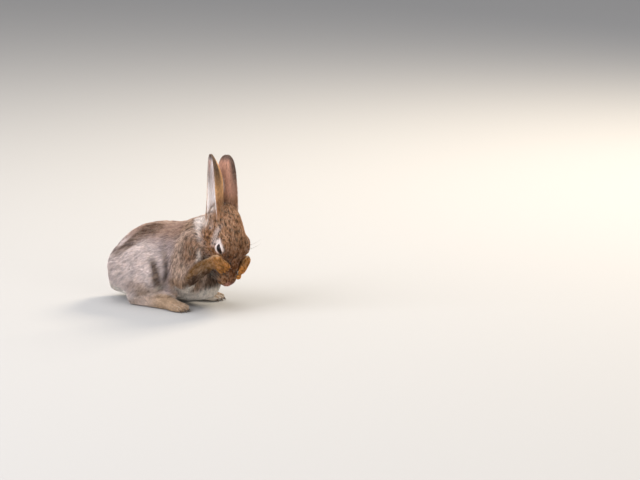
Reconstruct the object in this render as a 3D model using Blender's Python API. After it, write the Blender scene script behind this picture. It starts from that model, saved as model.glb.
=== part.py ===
"""A young wild rabbit sitting on its haunches and washing its face with both forepaws.

The rabbit faces +X, its left side is +Y, and it stands on the plane Z = 0. The outline of every solid is
that of the coat. The flesh is first modelled whole, like clay, from rounded masses and lofted sections,
and then parted along thin cuts into the pieces that have a name of their own.
"""

import math
from dataclasses import dataclass

import bmesh
import bpy
from mathutils import Matrix, Vector

MM = 0.001

# Driving sizes, in millimetres.
HEAD_LENGTH = 84.0
FOOT_LENGTH = 76.0
PARTING = 0.4  # width of the cut between two neighbours
HEAD_SEAT = 1.0  # width of the coarser cut in which the head meets the trunk
CLAY_GRAIN = 1.3  # voxel size at which the large masses are fused
LIMB_GRAIN = 0.9  # the same for forearms, hind feet and tail
PAW_GRAIN = 0.75  # the same for the forepaws, whose toes are thin

# How many triangles each kind of mass keeps after it is fused.
HEAD_TRIANGLES = 960
FLESH_TRIANGLES = 1400
FOREARM_TRIANGLES = 120
FOREPAW_TRIANGLES = 300
HIND_FOOT_TRIANGLES = 300
TAIL_TRIANGLES = 160

# How the head is carried: turned to the rabbit's right, bowed until the nose points at the ground, and
# tilted a little further to the right about its own upward axis.
HEAD_TURN = math.radians(-16)
HEAD_BOW = math.radians(82)
HEAD_TILT = math.radians(-4)
OCCIPUT = (55.9, -2.0, 107.5)

RIGHT, LEFT = -1, 1

COAT_BROWN = (0.24, 0.15, 0.095, 1.0)
COAT_GREY = (0.36, 0.30, 0.27, 1.0)
COAT_PALE = (0.72, 0.66, 0.61, 1.0)
COAT_RUST = (0.33, 0.15, 0.055, 1.0)
EAR_PINK = (0.42, 0.24, 0.17, 1.0)
EYE_BLACK = (0.012, 0.008, 0.006, 1.0)


def mm(x, y, z):
    """A point given in millimetres, as a vector in metres."""
    return Vector((x, y, z)) * MM


def catmull_rom(keys, t):
    """The value at t, from 0 to 1, on a smooth curve through evenly spaced keys (numbers or vectors)."""
    place = min(max(t, 0.0), 1.0) * (len(keys) - 1)
    i = min(int(place), len(keys) - 2)
    f = place - i
    before = keys[i - 1] if i > 0 else keys[i] * 2 - keys[i + 1]
    after = keys[i + 2] if i + 2 < len(keys) else keys[i + 1] * 2 - keys[i]
    return 0.5 * (
        keys[i] * 2
        + (keys[i + 1] - before) * f
        + (before * 2 - keys[i] * 5 + keys[i + 1] * 4 - after) * (f * f)
        + (keys[i] * 3 - before - keys[i + 1] * 3 + after) * (f * f * f)
    )


# ---------------------------------------------------------------------------------------------------------
# Clay: a bmesh into which rounded masses are pressed, before it is fused into one skin
# ---------------------------------------------------------------------------------------------------------


@dataclass
class Section:
    """One oval cross-section of a loft, in millimetres: its place along the axis and its outline there."""

    along: float
    top: float
    bottom: float
    half_width: float


def press_ball(clay, centre, radii, turn=None, subdivisions=4):
    """Adds an ellipsoid. centre and radii are in millimetres, turn is a rotation matrix."""
    shape = Matrix.Diagonal((*mm(*radii), 1.0))
    place = Matrix.Translation(mm(*centre)) @ (turn or Matrix.Identity(4)) @ shape
    bmesh.ops.create_icosphere(clay, subdivisions=subdivisions, radius=1.0, matrix=place)


def press_limb(clay, stations, subdivisions=3):
    """Adds a limb through stations of (centre, radius) in millimetres, as hulls of neighbouring balls."""
    for (start, start_radius), (end, end_radius) in zip(stations, stations[1:]):
        length = bmesh.new()
        for centre, radius in ((start, start_radius), (end, end_radius)):
            place = Matrix.Translation(mm(*centre))
            bmesh.ops.create_icosphere(
                length, subdivisions=subdivisions, radius=radius * MM, matrix=place
            )
        bmesh.ops.delete(length, geom=length.edges[:], context="EDGES_FACES")
        hull = bmesh.ops.convex_hull(length, input=length.verts[:])
        inside = [v for v in hull["geom_interior"] if isinstance(v, bmesh.types.BMVert)]
        bmesh.ops.delete(length, geom=inside, context="VERTS")
        bmesh.ops.recalc_face_normals(length, faces=length.faces[:])
        pour(length, clay)


def press_loft(clay, sections, frame, fullness=2.0, droop=0.0, sides=40, steps=48):
    """Adds a body through oval sections, along the first axis of frame, with the third axis upwards.

    fullness is the exponent of each oval (2 is an ellipse), and droop above 0 makes it wider below.
    """
    keys = [Vector((s.along, s.top, s.bottom, s.half_width)) for s in sections]
    rings = []
    for step in range(steps + 1):
        along, top, bottom, half_width = catmull_rom(keys, step / steps)
        middle, half_height = (top + bottom) / 2, (top - bottom) / 2
        ring = bmesh.ops.create_circle(clay, cap_ends=step in (0, steps), radius=1.0, segments=sides)["verts"]
        for vertex in ring:
            turn = math.atan2(vertex.co.y, vertex.co.x)
            across = math.copysign(abs(math.cos(turn)) ** (2 / fullness), math.cos(turn))
            upward = math.copysign(abs(math.sin(turn)) ** (2 / fullness), math.sin(turn))
            across *= 1 - droop * upward
            vertex.co = frame @ mm(along, across * half_width, middle + upward * half_height)
        rings.append(ring)
    for ring, following in zip(rings, rings[1:]):
        edges = {e for v in ring for e in v.link_edges if e.other_vert(v) in ring}
        edges |= {e for v in following for e in v.link_edges if e.other_vert(v) in following}
        bmesh.ops.bridge_loops(clay, edges=list(edges))
    bmesh.ops.recalc_face_normals(clay, faces=[f for f in clay.faces if f.verts[0] in set(sum(rings, []))])


def pour(source, target):
    """Moves everything in one bmesh into another."""
    carrier = bpy.data.meshes.new("carrier")
    source.to_mesh(carrier)
    source.free()
    target.from_mesh(carrier)
    bpy.data.meshes.remove(carrier)


# ---------------------------------------------------------------------------------------------------------
# Objects and the operations that part them
# ---------------------------------------------------------------------------------------------------------


def object_from(name, clay):
    """A scene object made of a bmesh, which is freed."""
    mesh = bpy.data.meshes.new(name)
    clay.to_mesh(mesh)
    clay.free()
    made = bpy.data.objects.new(name, mesh)
    bpy.context.scene.collection.objects.link(made)
    return made


def settle(obj):
    """Applies the modifiers of an object to its mesh."""
    bpy.context.view_layer.update()
    graph = bpy.context.evaluated_depsgraph_get()
    mesh = bpy.data.meshes.new_from_object(obj.evaluated_get(graph))
    obj.modifiers.clear()
    obj.data = mesh
    return obj


def fuse(obj, grain, rounds, triangles):
    """Fuses overlapping masses into one smooth skin, and brings it down to about so many triangles."""
    remesh = obj.modifiers.new("fuse", "REMESH")
    remesh.mode = "VOXEL"
    remesh.voxel_size = grain * MM
    smooth = obj.modifiers.new("soften", "SMOOTH")
    smooth.factor = 0.5
    smooth.iterations = rounds
    settle(obj)
    faces = sum(len(polygon.vertices) - 2 for polygon in obj.data.polygons)
    thin = obj.modifiers.new("thin", "DECIMATE")
    thin.ratio = min(1.0, triangles / faces)
    return settle(obj)


def copied(obj, name, grown=0.0):
    """A copy of an object, grown outwards by so many millimetres."""
    twin = bpy.data.objects.new(name, obj.data.copy())
    twin.matrix_world = obj.matrix_world.copy()
    bpy.context.scene.collection.objects.link(twin)
    if grown:
        swell = twin.modifiers.new("grow", "DISPLACE")
        swell.mid_level = 0.0
        swell.strength = grown * MM
        settle(twin)
    return twin


def combined(obj, other, operation):
    """Applies one Boolean to an object and settles it."""
    boolean = obj.modifiers.new(operation.lower(), "BOOLEAN")
    boolean.operation = operation
    boolean.object = other
    boolean.solver = "EXACT"
    return settle(obj)


def drop(*objects):
    """Removes helpers that have done their work."""
    for obj in objects:
        bpy.data.objects.remove(obj)


def part_off(whole, territory, name):
    """Cuts from the whole what lies in a territory, as a new object, and leaves the cut's width between."""
    piece = combined(copied(whole, name), territory, "INTERSECT")
    margin = copied(territory, name + "_margin", grown=PARTING)
    combined(whole, margin, "DIFFERENCE")
    drop(territory, margin)
    return piece


def seat_against(piece, neighbour, width=PARTING, share=1.0):
    """Cuts a piece back so that it meets its neighbour face to face, with the cut's width between.

    share is how much of the neighbour's triangles the cut keeps, and a coarser cut asks for more width.
    """
    margin = copied(neighbour, piece.name + "_seat")
    thin = margin.modifiers.new("thin", "DECIMATE")
    thin.ratio = share
    settle(margin)
    swell = margin.modifiers.new("grow", "DISPLACE")
    swell.mid_level = 0.0
    swell.strength = width * MM
    settle(margin)
    combined(piece, margin, "DIFFERENCE")
    drop(margin)
    return piece


def slab(name, centre, size, turn=None):
    """A block used as a territory. centre and size are in millimetres."""
    block = bmesh.new()
    place = Matrix.Translation(mm(*centre)) @ (turn or Matrix.Identity(4))
    bmesh.ops.create_cube(block, size=1.0, matrix=place @ Matrix.Diagonal((*mm(*size), 1.0)))
    return object_from(name, block)


def plug(name, centre, radii, depth, turn=None, sides=22):
    """An oval plug used as a territory: radii across, and depth along Y before it is turned."""
    block = bmesh.new()
    lie = Matrix.Rotation(math.pi / 2, 4, "X")
    place = Matrix.Translation(mm(*centre)) @ (turn or Matrix.Identity(4)) @ lie
    shape = Matrix.Diagonal((*mm(*radii, depth), 1.0))
    bmesh.ops.create_cone(
        block, cap_ends=True, segments=sides, radius1=1.0, radius2=1.0, depth=1.0, matrix=place @ shape
    )
    return object_from(name, block)


def without_crumbs(obj):
    """Removes the loose crumbs that a cut leaves beside a piece."""
    clay = bmesh.new()
    clay.from_mesh(obj.data)
    unseen = set(clay.verts)
    bodies = []
    while unseen:
        front = [unseen.pop()]
        body = list(front)
        while front:
            reached = {e.other_vert(v) for v in front for e in v.link_edges} & unseen
            unseen -= reached
            front = list(reached)
            body += front
        bodies.append(body)
    crumbs = sorted(bodies, key=len)[:-1]
    bmesh.ops.delete(clay, geom=[v for body in crumbs for v in body], context="VERTS")
    clay.to_mesh(obj.data)
    clay.free()
    return obj


# ---------------------------------------------------------------------------------------------------------
# The head's own frame: X towards the nose, Y to the rabbit's left, Z towards the forehead's side
# ---------------------------------------------------------------------------------------------------------

HEAD = (
    Matrix.Translation(mm(*OCCIPUT))
    @ Matrix.Rotation(HEAD_TURN, 4, "Z")
    @ Matrix.Rotation(HEAD_BOW, 4, "Y")
    @ Matrix.Rotation(HEAD_TILT, 4, "Z")
)


def in_head(along, side, up):
    """A point in the head's frame, in millimetres, as world millimetres."""
    return tuple(HEAD @ mm(along, side, up) / MM)


def head_turn():
    """The head's rotation alone."""
    return HEAD.to_3x3().to_4x4()


HEAD_SECTIONS = (
    Section(-3.0, 0.0, -8.0, 4.0),
    Section(0.0, 7.0, -15.0, 11.0),
    Section(8.0, 13.5, -20.0, 16.0),
    Section(18.0, 17.0, -22.5, 18.5),
    Section(28.0, 18.5, -22.5, 20.5),
    Section(38.0, 18.5, -21.5, 20.5),
    Section(48.0, 16.5, -18.5, 17.0),
    Section(58.0, 12.5, -14.5, 12.5),
    Section(70.0, 9.0, -12.5, 10.6),
    Section(79.5, 5.2, -10.0, 7.8),
    Section(HEAD_LENGTH, -0.5, -5.0, 2.5),
)
EYE_ALONG, EYE_SIDE, EYE_UP = 43.0, 13.2, 7.0
EYE_RADIUS = 6.8
LIDS_OPEN_LENGTH, LIDS_OPEN_HEIGHT = 11.0, 4.6


def press_head(clay):
    """The head: a lofted skull and muzzle, with cheeks, brows, whisker pads and chin laid over it."""
    press_loft(clay, HEAD_SECTIONS, HEAD, fullness=2.15, droop=0.10)
    for side in (RIGHT, LEFT):
        press_ball(clay, in_head(33, side * 12.5, -9.5), (19, 11.5, 14.5), head_turn())
        press_ball(clay, in_head(41, side * 15.0, 12.0), (11, 6.2, 4.8), head_turn())
        press_ball(clay, in_head(47, side * 12.5, 3.0), (11, 8.0, 7.5), head_turn())
        press_ball(clay, in_head(71.0, side * 6.2, -2.8), (9.5, 6.6, 7.4), head_turn())
    press_ball(clay, in_head(71, 0, -12.0), (10.5, 6.4, 5.2), head_turn())


TRUNK_SECTIONS = (
    Section(-82.0, 36.0, 24.0, 5.0),
    Section(-77.5, 49.0, 12.0, 19.0),
    Section(-68.0, 63.0, 5.0, 28.5),
    Section(-50.0, 77.5, 3.0, 34.0),
    Section(-30.0, 84.5, 2.6, 36.5),
    Section(-8.0, 86.5, 2.6, 36.0),
    Section(12.0, 86.5, 3.5, 33.0),
    Section(27.0, 83.0, 6.0, 29.0),
    Section(37.0, 70.0, 8.0, 23.0),
    Section(43.0, 52.0, 14.0, 14.0),
    Section(45.0, 38.0, 24.0, 4.0),
)


def press_trunk(clay):
    """The trunk from rump to chest, and the short neck that carries the bowed head."""
    press_loft(clay, TRUNK_SECTIONS, Matrix.Identity(4), fullness=2.1, droop=0.12)
    press_limb(clay, (((14, 0, 64), 26.0), ((34, -1, 75), 23.0), ((52, -2, 84), 18.5)))


# ---------------------------------------------------------------------------------------------------------
# Limbs
# ---------------------------------------------------------------------------------------------------------


@dataclass
class Foreleg:
    """One raised foreleg, in world millimetres: its joints, and the paw's line along the muzzle."""

    side: int
    shoulder: tuple
    elbow: tuple
    wrist: tuple
    toe_tip: tuple
    palm_faces: tuple


FORELEGS = (
    Foreleg(
        side=RIGHT,
        shoulder=(27, -22, 62),
        elbow=(23, -31, 31),
        wrist=in_head(53.5, -21.0, 6.5),
        toe_tip=in_head(66, -12.4, 10.0),
        palm_faces=in_head(60, 0.0, 0.0),
    ),
    Foreleg(
        side=LEFT,
        shoulder=(30, 22, 62),
        elbow=(32, 30, 34),
        wrist=in_head(56, 18.0, 7.3),
        toe_tip=in_head(73, 6.4, 7.0),
        palm_faces=in_head(65, 0.0, -1.0),
    ),
)


def press_shoulder(clay, leg):
    """The shoulder blade's mass and the upper arm, which stay with the flesh of the trunk."""
    x, y, z = leg.shoulder
    press_ball(clay, (x, y, z - 2), (20, 12, 24), Matrix.Rotation(math.radians(12), 4, "Y"))
    press_limb(clay, (((x, y - leg.side * 1, z - 4), 14.0), (leg.elbow, 11.0)))


def blend_points(start, end, share):
    """The point that lies this share of the way from start to end."""
    return tuple(Vector(start).lerp(Vector(end), share))


def forearm(leg, name):
    """A forearm, slim towards the wrist."""
    clay = bmesh.new()
    middle = blend_points(leg.elbow, leg.wrist, 0.5)
    near_wrist = blend_points(leg.elbow, leg.wrist, 0.9)
    press_limb(clay, ((leg.elbow, 10.2), (middle, 8.2), (near_wrist, 6.4), (leg.wrist, 5.9)))
    return fuse(object_from(name, clay), LIMB_GRAIN, 8, FOREARM_TRIANGLES)


def forepaw(leg, name):
    """A forepaw: the palm and four toes, bent at the wrist and laid along the muzzle."""
    wrist, tip = Vector(leg.wrist), Vector(leg.toe_tip)
    along = (tip - wrist).normalized()
    inward = (Vector(leg.palm_faces) - (wrist + tip) / 2).normalized()
    across = along.cross(inward).normalized()
    inward = across.cross(along).normalized()
    length = (tip - wrist).length
    clay = bmesh.new()
    knuckles = wrist + along * length * 0.55
    press_limb(clay, ((tuple(wrist), 5.7), (tuple(knuckles - across * 1.6), 5.0)))
    press_limb(clay, ((tuple(wrist), 5.7), (tuple(knuckles + across * 1.6), 5.0)))
    for toe in range(4):
        spread = toe - 1.5
        reach = 1.0 - 0.07 * abs(spread)
        root = knuckles + across * spread * 2.7
        end = wrist + along * length * reach + across * spread * 3.3 + inward * 1.2
        press_limb(clay, ((tuple(root), 3.5), (tuple(end), 2.5)))
    return fuse(object_from(name, clay), PAW_GRAIN, 5, FOREPAW_TRIANGLES)


HIP, KNEE, HEEL = (-46, 21, 46), (-8, 29, 32), (-38, 30, 10)


def press_haunch(clay, side):
    """The folded hind leg: a broad thigh, the knee in front and the shank running back to the heel."""
    slope = Matrix.Rotation(math.radians(14), 4, "Y")
    press_ball(clay, (-36, side * 23, 37), (35, 16, 32), slope)
    press_ball(clay, (-54, side * 18, 35), (23, 17, 27))
    press_limb(
        clay,
        (
            ((HIP[0], side * HIP[1], HIP[2]), 14.0),
            ((KNEE[0], side * KNEE[1], KNEE[2]), 12.5),
            ((HEEL[0], side * HEEL[1], HEEL[2]), 8.5),
        ),
    )


def hind_foot(side, name):
    """A long hind foot lying flat from heel to toes, with four toes fanned at its end."""
    heel_x, splay = -44.0, 4.0
    y = side * 29.0
    toes_x = heel_x + FOOT_LENGTH * 0.74
    clay = bmesh.new()
    press_limb(
        clay,
        (
            ((heel_x + 8, y, 6.6), 7.6),
            ((heel_x + 30, y + side * splay * 0.4, 6.0), 7.4),
            ((toes_x, y + side * splay, 5.2), 7.2),
        ),
    )
    for toe in range(4):
        spread = toe - 1.5
        reach = FOOT_LENGTH * (0.965 - 0.035 * abs(spread))
        root = (toes_x, y + side * splay + spread * 4.0, 4.6)
        end = (heel_x + reach, y + side * splay * 1.4 + spread * 4.9, 3.2)
        press_limb(clay, ((root, 5.0), (end, 3.6)))
    foot = fuse(object_from(name, clay), LIMB_GRAIN, 6, HIND_FOOT_TRIANGLES)
    below = slab(name + "_floor", (0, y, -10), (300, 80, 20))
    combined(foot, below, "DIFFERENCE")
    drop(below)
    return foot


def tail(name):
    """The short tail, turned up against the rump."""
    clay = bmesh.new()
    press_limb(clay, (((-70, 0, 11), 8.0), ((-78, 0, 13), 8.5), ((-81, 0, 22), 7.0), ((-83, 0, 31), 4.5)))
    return fuse(object_from(name, clay), LIMB_GRAIN, 8, TAIL_TRIANGLES)


# ---------------------------------------------------------------------------------------------------------
# Ears and eyes
# ---------------------------------------------------------------------------------------------------------


@dataclass
class Ear:
    """One ear in the head's frame, in millimetres. Its hollow faces outwards, away from the other ear.

    Across, its wall follows half an oval. depths and half_gaps are that oval's two half-axes, from root to
    tip: how far the back bulges behind the rims, and how far each rim stands from the middle. bluntness says
    how late, and how roundly, the ear narrows to its tip.
    """

    side: int
    root: tuple
    tip: tuple
    depths: tuple
    half_gaps: tuple
    bluntness: float


EARS = (
    Ear(
        side=RIGHT,
        root=(15.0, -16.5, -3.4),
        tip=(-53.0, -15.5, -2.9),
        depths=(10.0, 12.0, 14.0, 15.0, 14.8, 11.5, 6.0),
        half_gaps=(8.5, 7.4, 6.4, 5.8, 5.4, 5.2, 5.2),
        bluntness=5.0,
    ),
    Ear(
        side=LEFT,
        root=(15.0, 12.5, -6.0),
        tip=(-51.5, 8.5, -4.0),
        depths=(9.5, 9.2, 9.0, 8.8, 8.4, 8.0, 7.5),
        half_gaps=(9.0, 10.0, 11.0, 11.6, 11.8, 11.8, 11.8),
        bluntness=9.0,
    ),
)
EAR_WALL = 1.9
EAR_ACROSS, EAR_ALONG = 8, 11


def ear(shape, name):
    """An ear as a hollow blade: deepest above its root, and narrowing roundly to its tip."""
    root, tip = Vector(shape.root), Vector(shape.tip)
    clay = bmesh.new()
    bmesh.ops.create_grid(clay, x_segments=EAR_ACROSS, y_segments=EAR_ALONG, size=1.0)
    for vertex in clay.verts:
        share = math.sin((vertex.co.y + 1) / 2 * math.pi / 2)
        narrowing = math.sqrt(max(1 - share**shape.bluntness, 0.012))
        depth = catmull_rom(shape.depths, share) * narrowing
        half_gap = catmull_rom(shape.half_gaps, share) * narrowing
        turn = vertex.co.x * math.pi / 2
        middle = root.lerp(tip, share)
        back = Vector((0.0, -shape.side * depth * math.cos(turn), half_gap * math.sin(turn)))
        vertex.co = HEAD @ ((middle + back) * MM)
    blade = object_from(name, clay)
    wall = blade.modifiers.new("wall", "SOLIDIFY")
    wall.thickness = EAR_WALL * MM
    wall.offset = 0.0
    return settle(blade)


def eye(side, name):
    """An eyeball, which shows only where the head's coat leaves it open."""
    ball = bmesh.new()
    place = Matrix.Translation(mm(*in_head(EYE_ALONG, side * EYE_SIDE, EYE_UP)))
    bmesh.ops.create_uvsphere(ball, u_segments=12, v_segments=8, radius=EYE_RADIUS * MM, matrix=place)
    return object_from(name, ball)


def open_lids(flesh, side):
    """Opens the slit between the lids, down to the eyeball."""
    centre = in_head(EYE_ALONG, side * (EYE_SIDE + EYE_RADIUS), EYE_UP)
    radii = (LIDS_OPEN_LENGTH / 2, LIDS_OPEN_HEIGHT / 2)
    slit = plug("slit", centre, radii, EYE_RADIUS, head_turn(), sides=14)
    combined(flesh, slit, "DIFFERENCE")
    drop(slit)


# ---------------------------------------------------------------------------------------------------------
# Putting the rabbit together
# ---------------------------------------------------------------------------------------------------------


def coat(name, colour, roughness=0.85):
    """A Principled material."""
    material = bpy.data.materials.new(name)
    material.use_nodes = True
    shader = material.node_tree.nodes["Principled BSDF"]
    shader.inputs["Base Color"].default_value = colour
    shader.inputs["Roughness"].default_value = roughness
    return material


def dress(obj, material):
    """Gives an object one material and smooth shading."""
    obj.data.materials.clear()
    obj.data.materials.append(material)
    obj.data.shade_smooth()


def model_head():
    """The head as one closed mass, before the eyes are let into it."""
    clay = bmesh.new()
    press_head(clay)
    return fuse(object_from("head", clay), CLAY_GRAIN, 6, HEAD_TRIANGLES)


def model_flesh():
    """The trunk with its neck, shoulders, upper arms and haunches, as one."""
    clay = bmesh.new()
    press_trunk(clay)
    for leg in FORELEGS:
        press_shoulder(clay, leg)
    for side in (RIGHT, LEFT):
        press_haunch(clay, side)
    return fuse(object_from("abdomen", clay), CLAY_GRAIN, 14, FLESH_TRIANGLES)


def side_name(part, side):
    """The name of one of a pair."""
    return f"{part}_{'left' if side == LEFT else 'right'}"


def part_flesh(whole):
    """Parts the flesh into neck, chest, rump, legs and upper arms. The abdomen is what remains."""
    parts = {}
    for leg in FORELEGS:
        x, _, z = blend_points(leg.shoulder, leg.elbow, 0.45)
        name = side_name("upper_arm", leg.side)
        territory = plug(name + "_cut", (x, leg.side * 39, z), (17, 33), 50)
        parts[name] = part_off(whole, territory, name)
    for side in (RIGHT, LEFT):
        shank = bmesh.new()
        knee, heel = (KNEE[0] + 6, side * (KNEE[1] + 12), 16), (HEEL[0] - 4, side * (HEEL[1] + 8), 9)
        press_limb(shank, ((knee, 9.0), (heel, 10.0)), subdivisions=2)
        name = side_name("lower_leg", side)
        parts[name] = part_off(whole, object_from(name + "_cut", shank), name)
        name = side_name("thigh", side)
        slope = Matrix.Rotation(math.radians(14), 4, "Y")
        territory = plug(name + "_cut", (-35, side * 39, 36), (36, 34), 50, slope)
        parts[name] = part_off(whole, territory, name)
    lean = Matrix.Rotation(math.radians(-38), 4, "Y")
    parts["neck"] = part_off(whole, slab("neck_cut", (58, 0, 98), (60, 120, 52), lean), "neck")
    parts["chest"] = part_off(whole, slab("chest_cut", (60, 0, 50), (96, 120, 140)), "chest")
    parts["rump"] = part_off(whole, slab("rump_cut", (-106, 0, 50), (96, 120, 140)), "rump")
    parts["abdomen"] = whole
    for piece in parts.values():
        without_crumbs(piece)
    return parts


def centre_on_floor(objects):
    """Moves the rabbit so that the middle of its bounding box lies over the origin, on the floor."""
    points = [o.matrix_world @ v.co for o in objects for v in o.data.vertices]
    low = Vector(min(p[axis] for p in points) for axis in range(3))
    high = Vector(max(p[axis] for p in points) for axis in range(3))
    middle = (low + high) / 2
    for obj in objects:
        obj.data.transform(Matrix.Translation((-middle.x, -middle.y, -low.z)))


def main():
    for obj in list(bpy.data.objects):
        bpy.data.objects.remove(obj)

    head, flesh = model_head(), model_flesh()
    seat_against(flesh, head, width=HEAD_SEAT, share=0.35)
    parts = {"head": head}
    for shape in EARS:
        name = side_name("ear", shape.side)
        parts[name] = seat_against(seat_against(ear(shape, name), head), flesh)
        without_crumbs(parts[name])
    for leg in FORELEGS:
        name, arm = side_name("forepaw", leg.side), side_name("forearm", leg.side)
        parts[name] = without_crumbs(seat_against(forepaw(leg, name), head))
        parts[arm] = seat_against(seat_against(forearm(leg, arm), flesh), head)
        without_crumbs(seat_against(parts[arm], parts[name]))
    for side in (RIGHT, LEFT):
        name = side_name("eye", side)
        parts[name] = eye(side, name)
        seat_against(head, parts[name])
        open_lids(head, side)
    for side in (RIGHT, LEFT):
        name = side_name("hind_foot", side)
        parts[name] = without_crumbs(seat_against(hind_foot(side, name), flesh))
    parts["tail"] = without_crumbs(seat_against(tail("tail"), flesh))
    parts.update(part_flesh(flesh))
    centre_on_floor(list(parts.values()))

    brown, grey = coat("coat_brown", COAT_BROWN), coat("coat_grey", COAT_GREY)
    rust, pale = coat("coat_rust", COAT_RUST), coat("coat_pale", COAT_PALE)
    pink, black = coat("ear_pink", EAR_PINK), coat("eye_black", EYE_BLACK, 0.08)
    finishes = {"eye": black, "ear": pink, "forepaw": rust, "forearm": brown, "head": brown, "tail": pale}
    for name, obj in parts.items():
        dress(obj, next((m for key, m in finishes.items() if name.startswith(key)), grey))


if __name__ == "__main__":
    main()
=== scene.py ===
"""A young wild rabbit washing its face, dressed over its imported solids.

One skin takes the place of the flesh and the ears. Locks of hair grow out of it along the lie of the coat,
and the eyes, claws and whiskers are pieces of their own. Lengths are in millimetres unless a name says
otherwise, and become metres only where they enter a mesh.
"""

import sys

import logging
import math
from dataclasses import dataclass, field
from enum import Enum
from functools import partial

import bmesh
import bpy
import numpy as np
from bmesh.types import BMesh, BMVert
from bpy.types import Material, Mesh, Node, NodeTree, Object
from mathutils import Matrix, Vector
from mathutils.bvhtree import BVHTree
from mathutils.kdtree import KDTree

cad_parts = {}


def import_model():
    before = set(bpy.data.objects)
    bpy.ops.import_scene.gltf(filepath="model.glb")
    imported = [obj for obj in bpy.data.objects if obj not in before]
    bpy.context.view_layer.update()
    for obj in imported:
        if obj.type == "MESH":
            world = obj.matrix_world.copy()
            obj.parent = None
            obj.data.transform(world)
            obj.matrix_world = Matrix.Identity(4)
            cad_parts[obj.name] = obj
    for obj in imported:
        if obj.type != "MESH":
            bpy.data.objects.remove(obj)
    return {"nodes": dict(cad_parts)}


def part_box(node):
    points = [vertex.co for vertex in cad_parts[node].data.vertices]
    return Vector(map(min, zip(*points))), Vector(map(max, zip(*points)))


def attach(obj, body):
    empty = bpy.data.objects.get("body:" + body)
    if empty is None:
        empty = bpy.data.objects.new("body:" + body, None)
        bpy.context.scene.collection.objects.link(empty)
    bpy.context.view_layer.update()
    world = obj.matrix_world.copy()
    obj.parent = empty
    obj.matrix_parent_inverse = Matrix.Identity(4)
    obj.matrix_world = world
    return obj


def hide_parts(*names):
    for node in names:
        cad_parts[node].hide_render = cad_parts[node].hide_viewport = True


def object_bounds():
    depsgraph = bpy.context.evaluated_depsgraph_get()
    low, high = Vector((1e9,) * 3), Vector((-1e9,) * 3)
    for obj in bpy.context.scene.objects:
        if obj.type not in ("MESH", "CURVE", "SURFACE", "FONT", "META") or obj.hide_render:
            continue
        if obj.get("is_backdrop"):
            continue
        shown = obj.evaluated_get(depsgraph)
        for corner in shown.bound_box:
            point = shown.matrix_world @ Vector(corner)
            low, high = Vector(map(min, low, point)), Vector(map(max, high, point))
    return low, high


MM = 0.001
MARKINGS = "Markings"  # the colour attribute that skin and coat share
BAKE_MAP = "OFBake"  # the coat's map, for its colours to be baked on
BAKE_PATCH = 0.003  # the share of the map's width that one lock takes
CELL_PRIMES = np.array([73856093, 19349663, 83492791])

Array = np.ndarray
log = logging.getLogger("rabbit")


class Side(Enum):
    """A side of the rabbit, valued as the sign of Y there."""

    RIGHT = -1
    LEFT = 1

    @property
    def word(self) -> str:
        """The side's name as it stands in piece names."""
        return self.name.lower()


# ---- Small tools ----


def linear(code: str) -> Array:
    """Turns an sRGB hex colour into linear red, green and blue.

    Args:
        code: the colour, such as "#8e6c51".

    Returns:
        Three numbers from 0 to 1.
    """
    value = np.array([int(code[i : i + 2], 16) for i in (1, 3, 5)]) / 255
    return np.where(value <= 0.04045, value / 12.92, ((value + 0.055) / 1.055) ** 2.4)


def ease(value: Array, low: float, high: float) -> Array:
    """Eases from 0 at low up to 1 at high, or down where high is the smaller.

    Args:
        value: the numbers to map.
        low: where the result is 0.
        high: where the result is 1.

    Returns:
        Numbers from 0 to 1.
    """
    t = np.clip((value - low) / (high - low), 0, 1)
    return t * t * (3 - 2 * t)


def unit(vectors: Array) -> Array:
    """Scales each row to a length of 1."""
    return vectors / np.maximum(np.linalg.norm(vectors, axis=-1, keepdims=True), 1e-9)


def along_surface(vectors: Array, normals: Array) -> Array:
    """Turns each vector into the unit vector nearest to it that lies in the surface."""
    return unit(vectors - normals * (vectors * normals).sum(-1, keepdims=True))


def catmull_rom(keys: tuple[float, ...], t: Array) -> Array:
    """Reads a smooth curve through evenly spaced keys.

    Args:
        keys: the values at even steps from 0 to 1.
        t: where to read, held between 0 and 1.

    Returns:
        The curve's values at t.
    """
    k = np.array([2 * keys[0] - keys[1], *keys, 2 * keys[-1] - keys[-2]])
    place = np.clip(t, 0, 1) * (len(keys) - 1)
    i = np.minimum(place.astype(int), len(keys) - 2)
    f = place - i
    a, b, c, d = k[i], k[i + 1], k[i + 2], k[i + 3]
    return 0.5 * (2 * b + (c - a) * f + (2 * a - 5 * b + 4 * c - d) * f**2 + (3 * b - a - 3 * c + d) * f**3)


def cell_keys(cells: Array) -> Array:
    """Gives each cell of a lattice in space a well mixed number.

    Args:
        cells: the cells' whole coordinates, one cell a row.

    Returns:
        One whole number for each cell.
    """
    return np.bitwise_xor.reduce(cells * CELL_PRIMES, axis=1)


class Grain:
    """Smooth noise in space, from -1 to 1, the same at every run."""

    VALUES = 8192  # a power of two

    def __init__(self, seed: int) -> None:
        """Fills the lattice.

        Args:
            seed: which noise of many this is.
        """
        self.lattice = np.random.default_rng(seed).uniform(-1, 1, self.VALUES)

    def at(self, points: Array, size: float | tuple[float, float, float]) -> Array:
        """Reads the noise.

        Args:
            points: places in millimetres, one a row.
            size: the width of one swell in millimetres, or its three widths.

        Returns:
            One number for each place.
        """
        q = points / np.asarray(size)
        cell = np.floor(q).astype(np.int64)
        f = q - cell
        f = f * f * (3 - 2 * f)
        total = np.zeros(len(points))
        for corner in range(8):
            step = np.array([corner & 1, corner >> 1 & 1, corner >> 2])
            share = np.where(step, f, 1 - f).prod(1)
            total += share * self.lattice[cell_keys(cell + step) & (self.VALUES - 1)]
        return total


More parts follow.
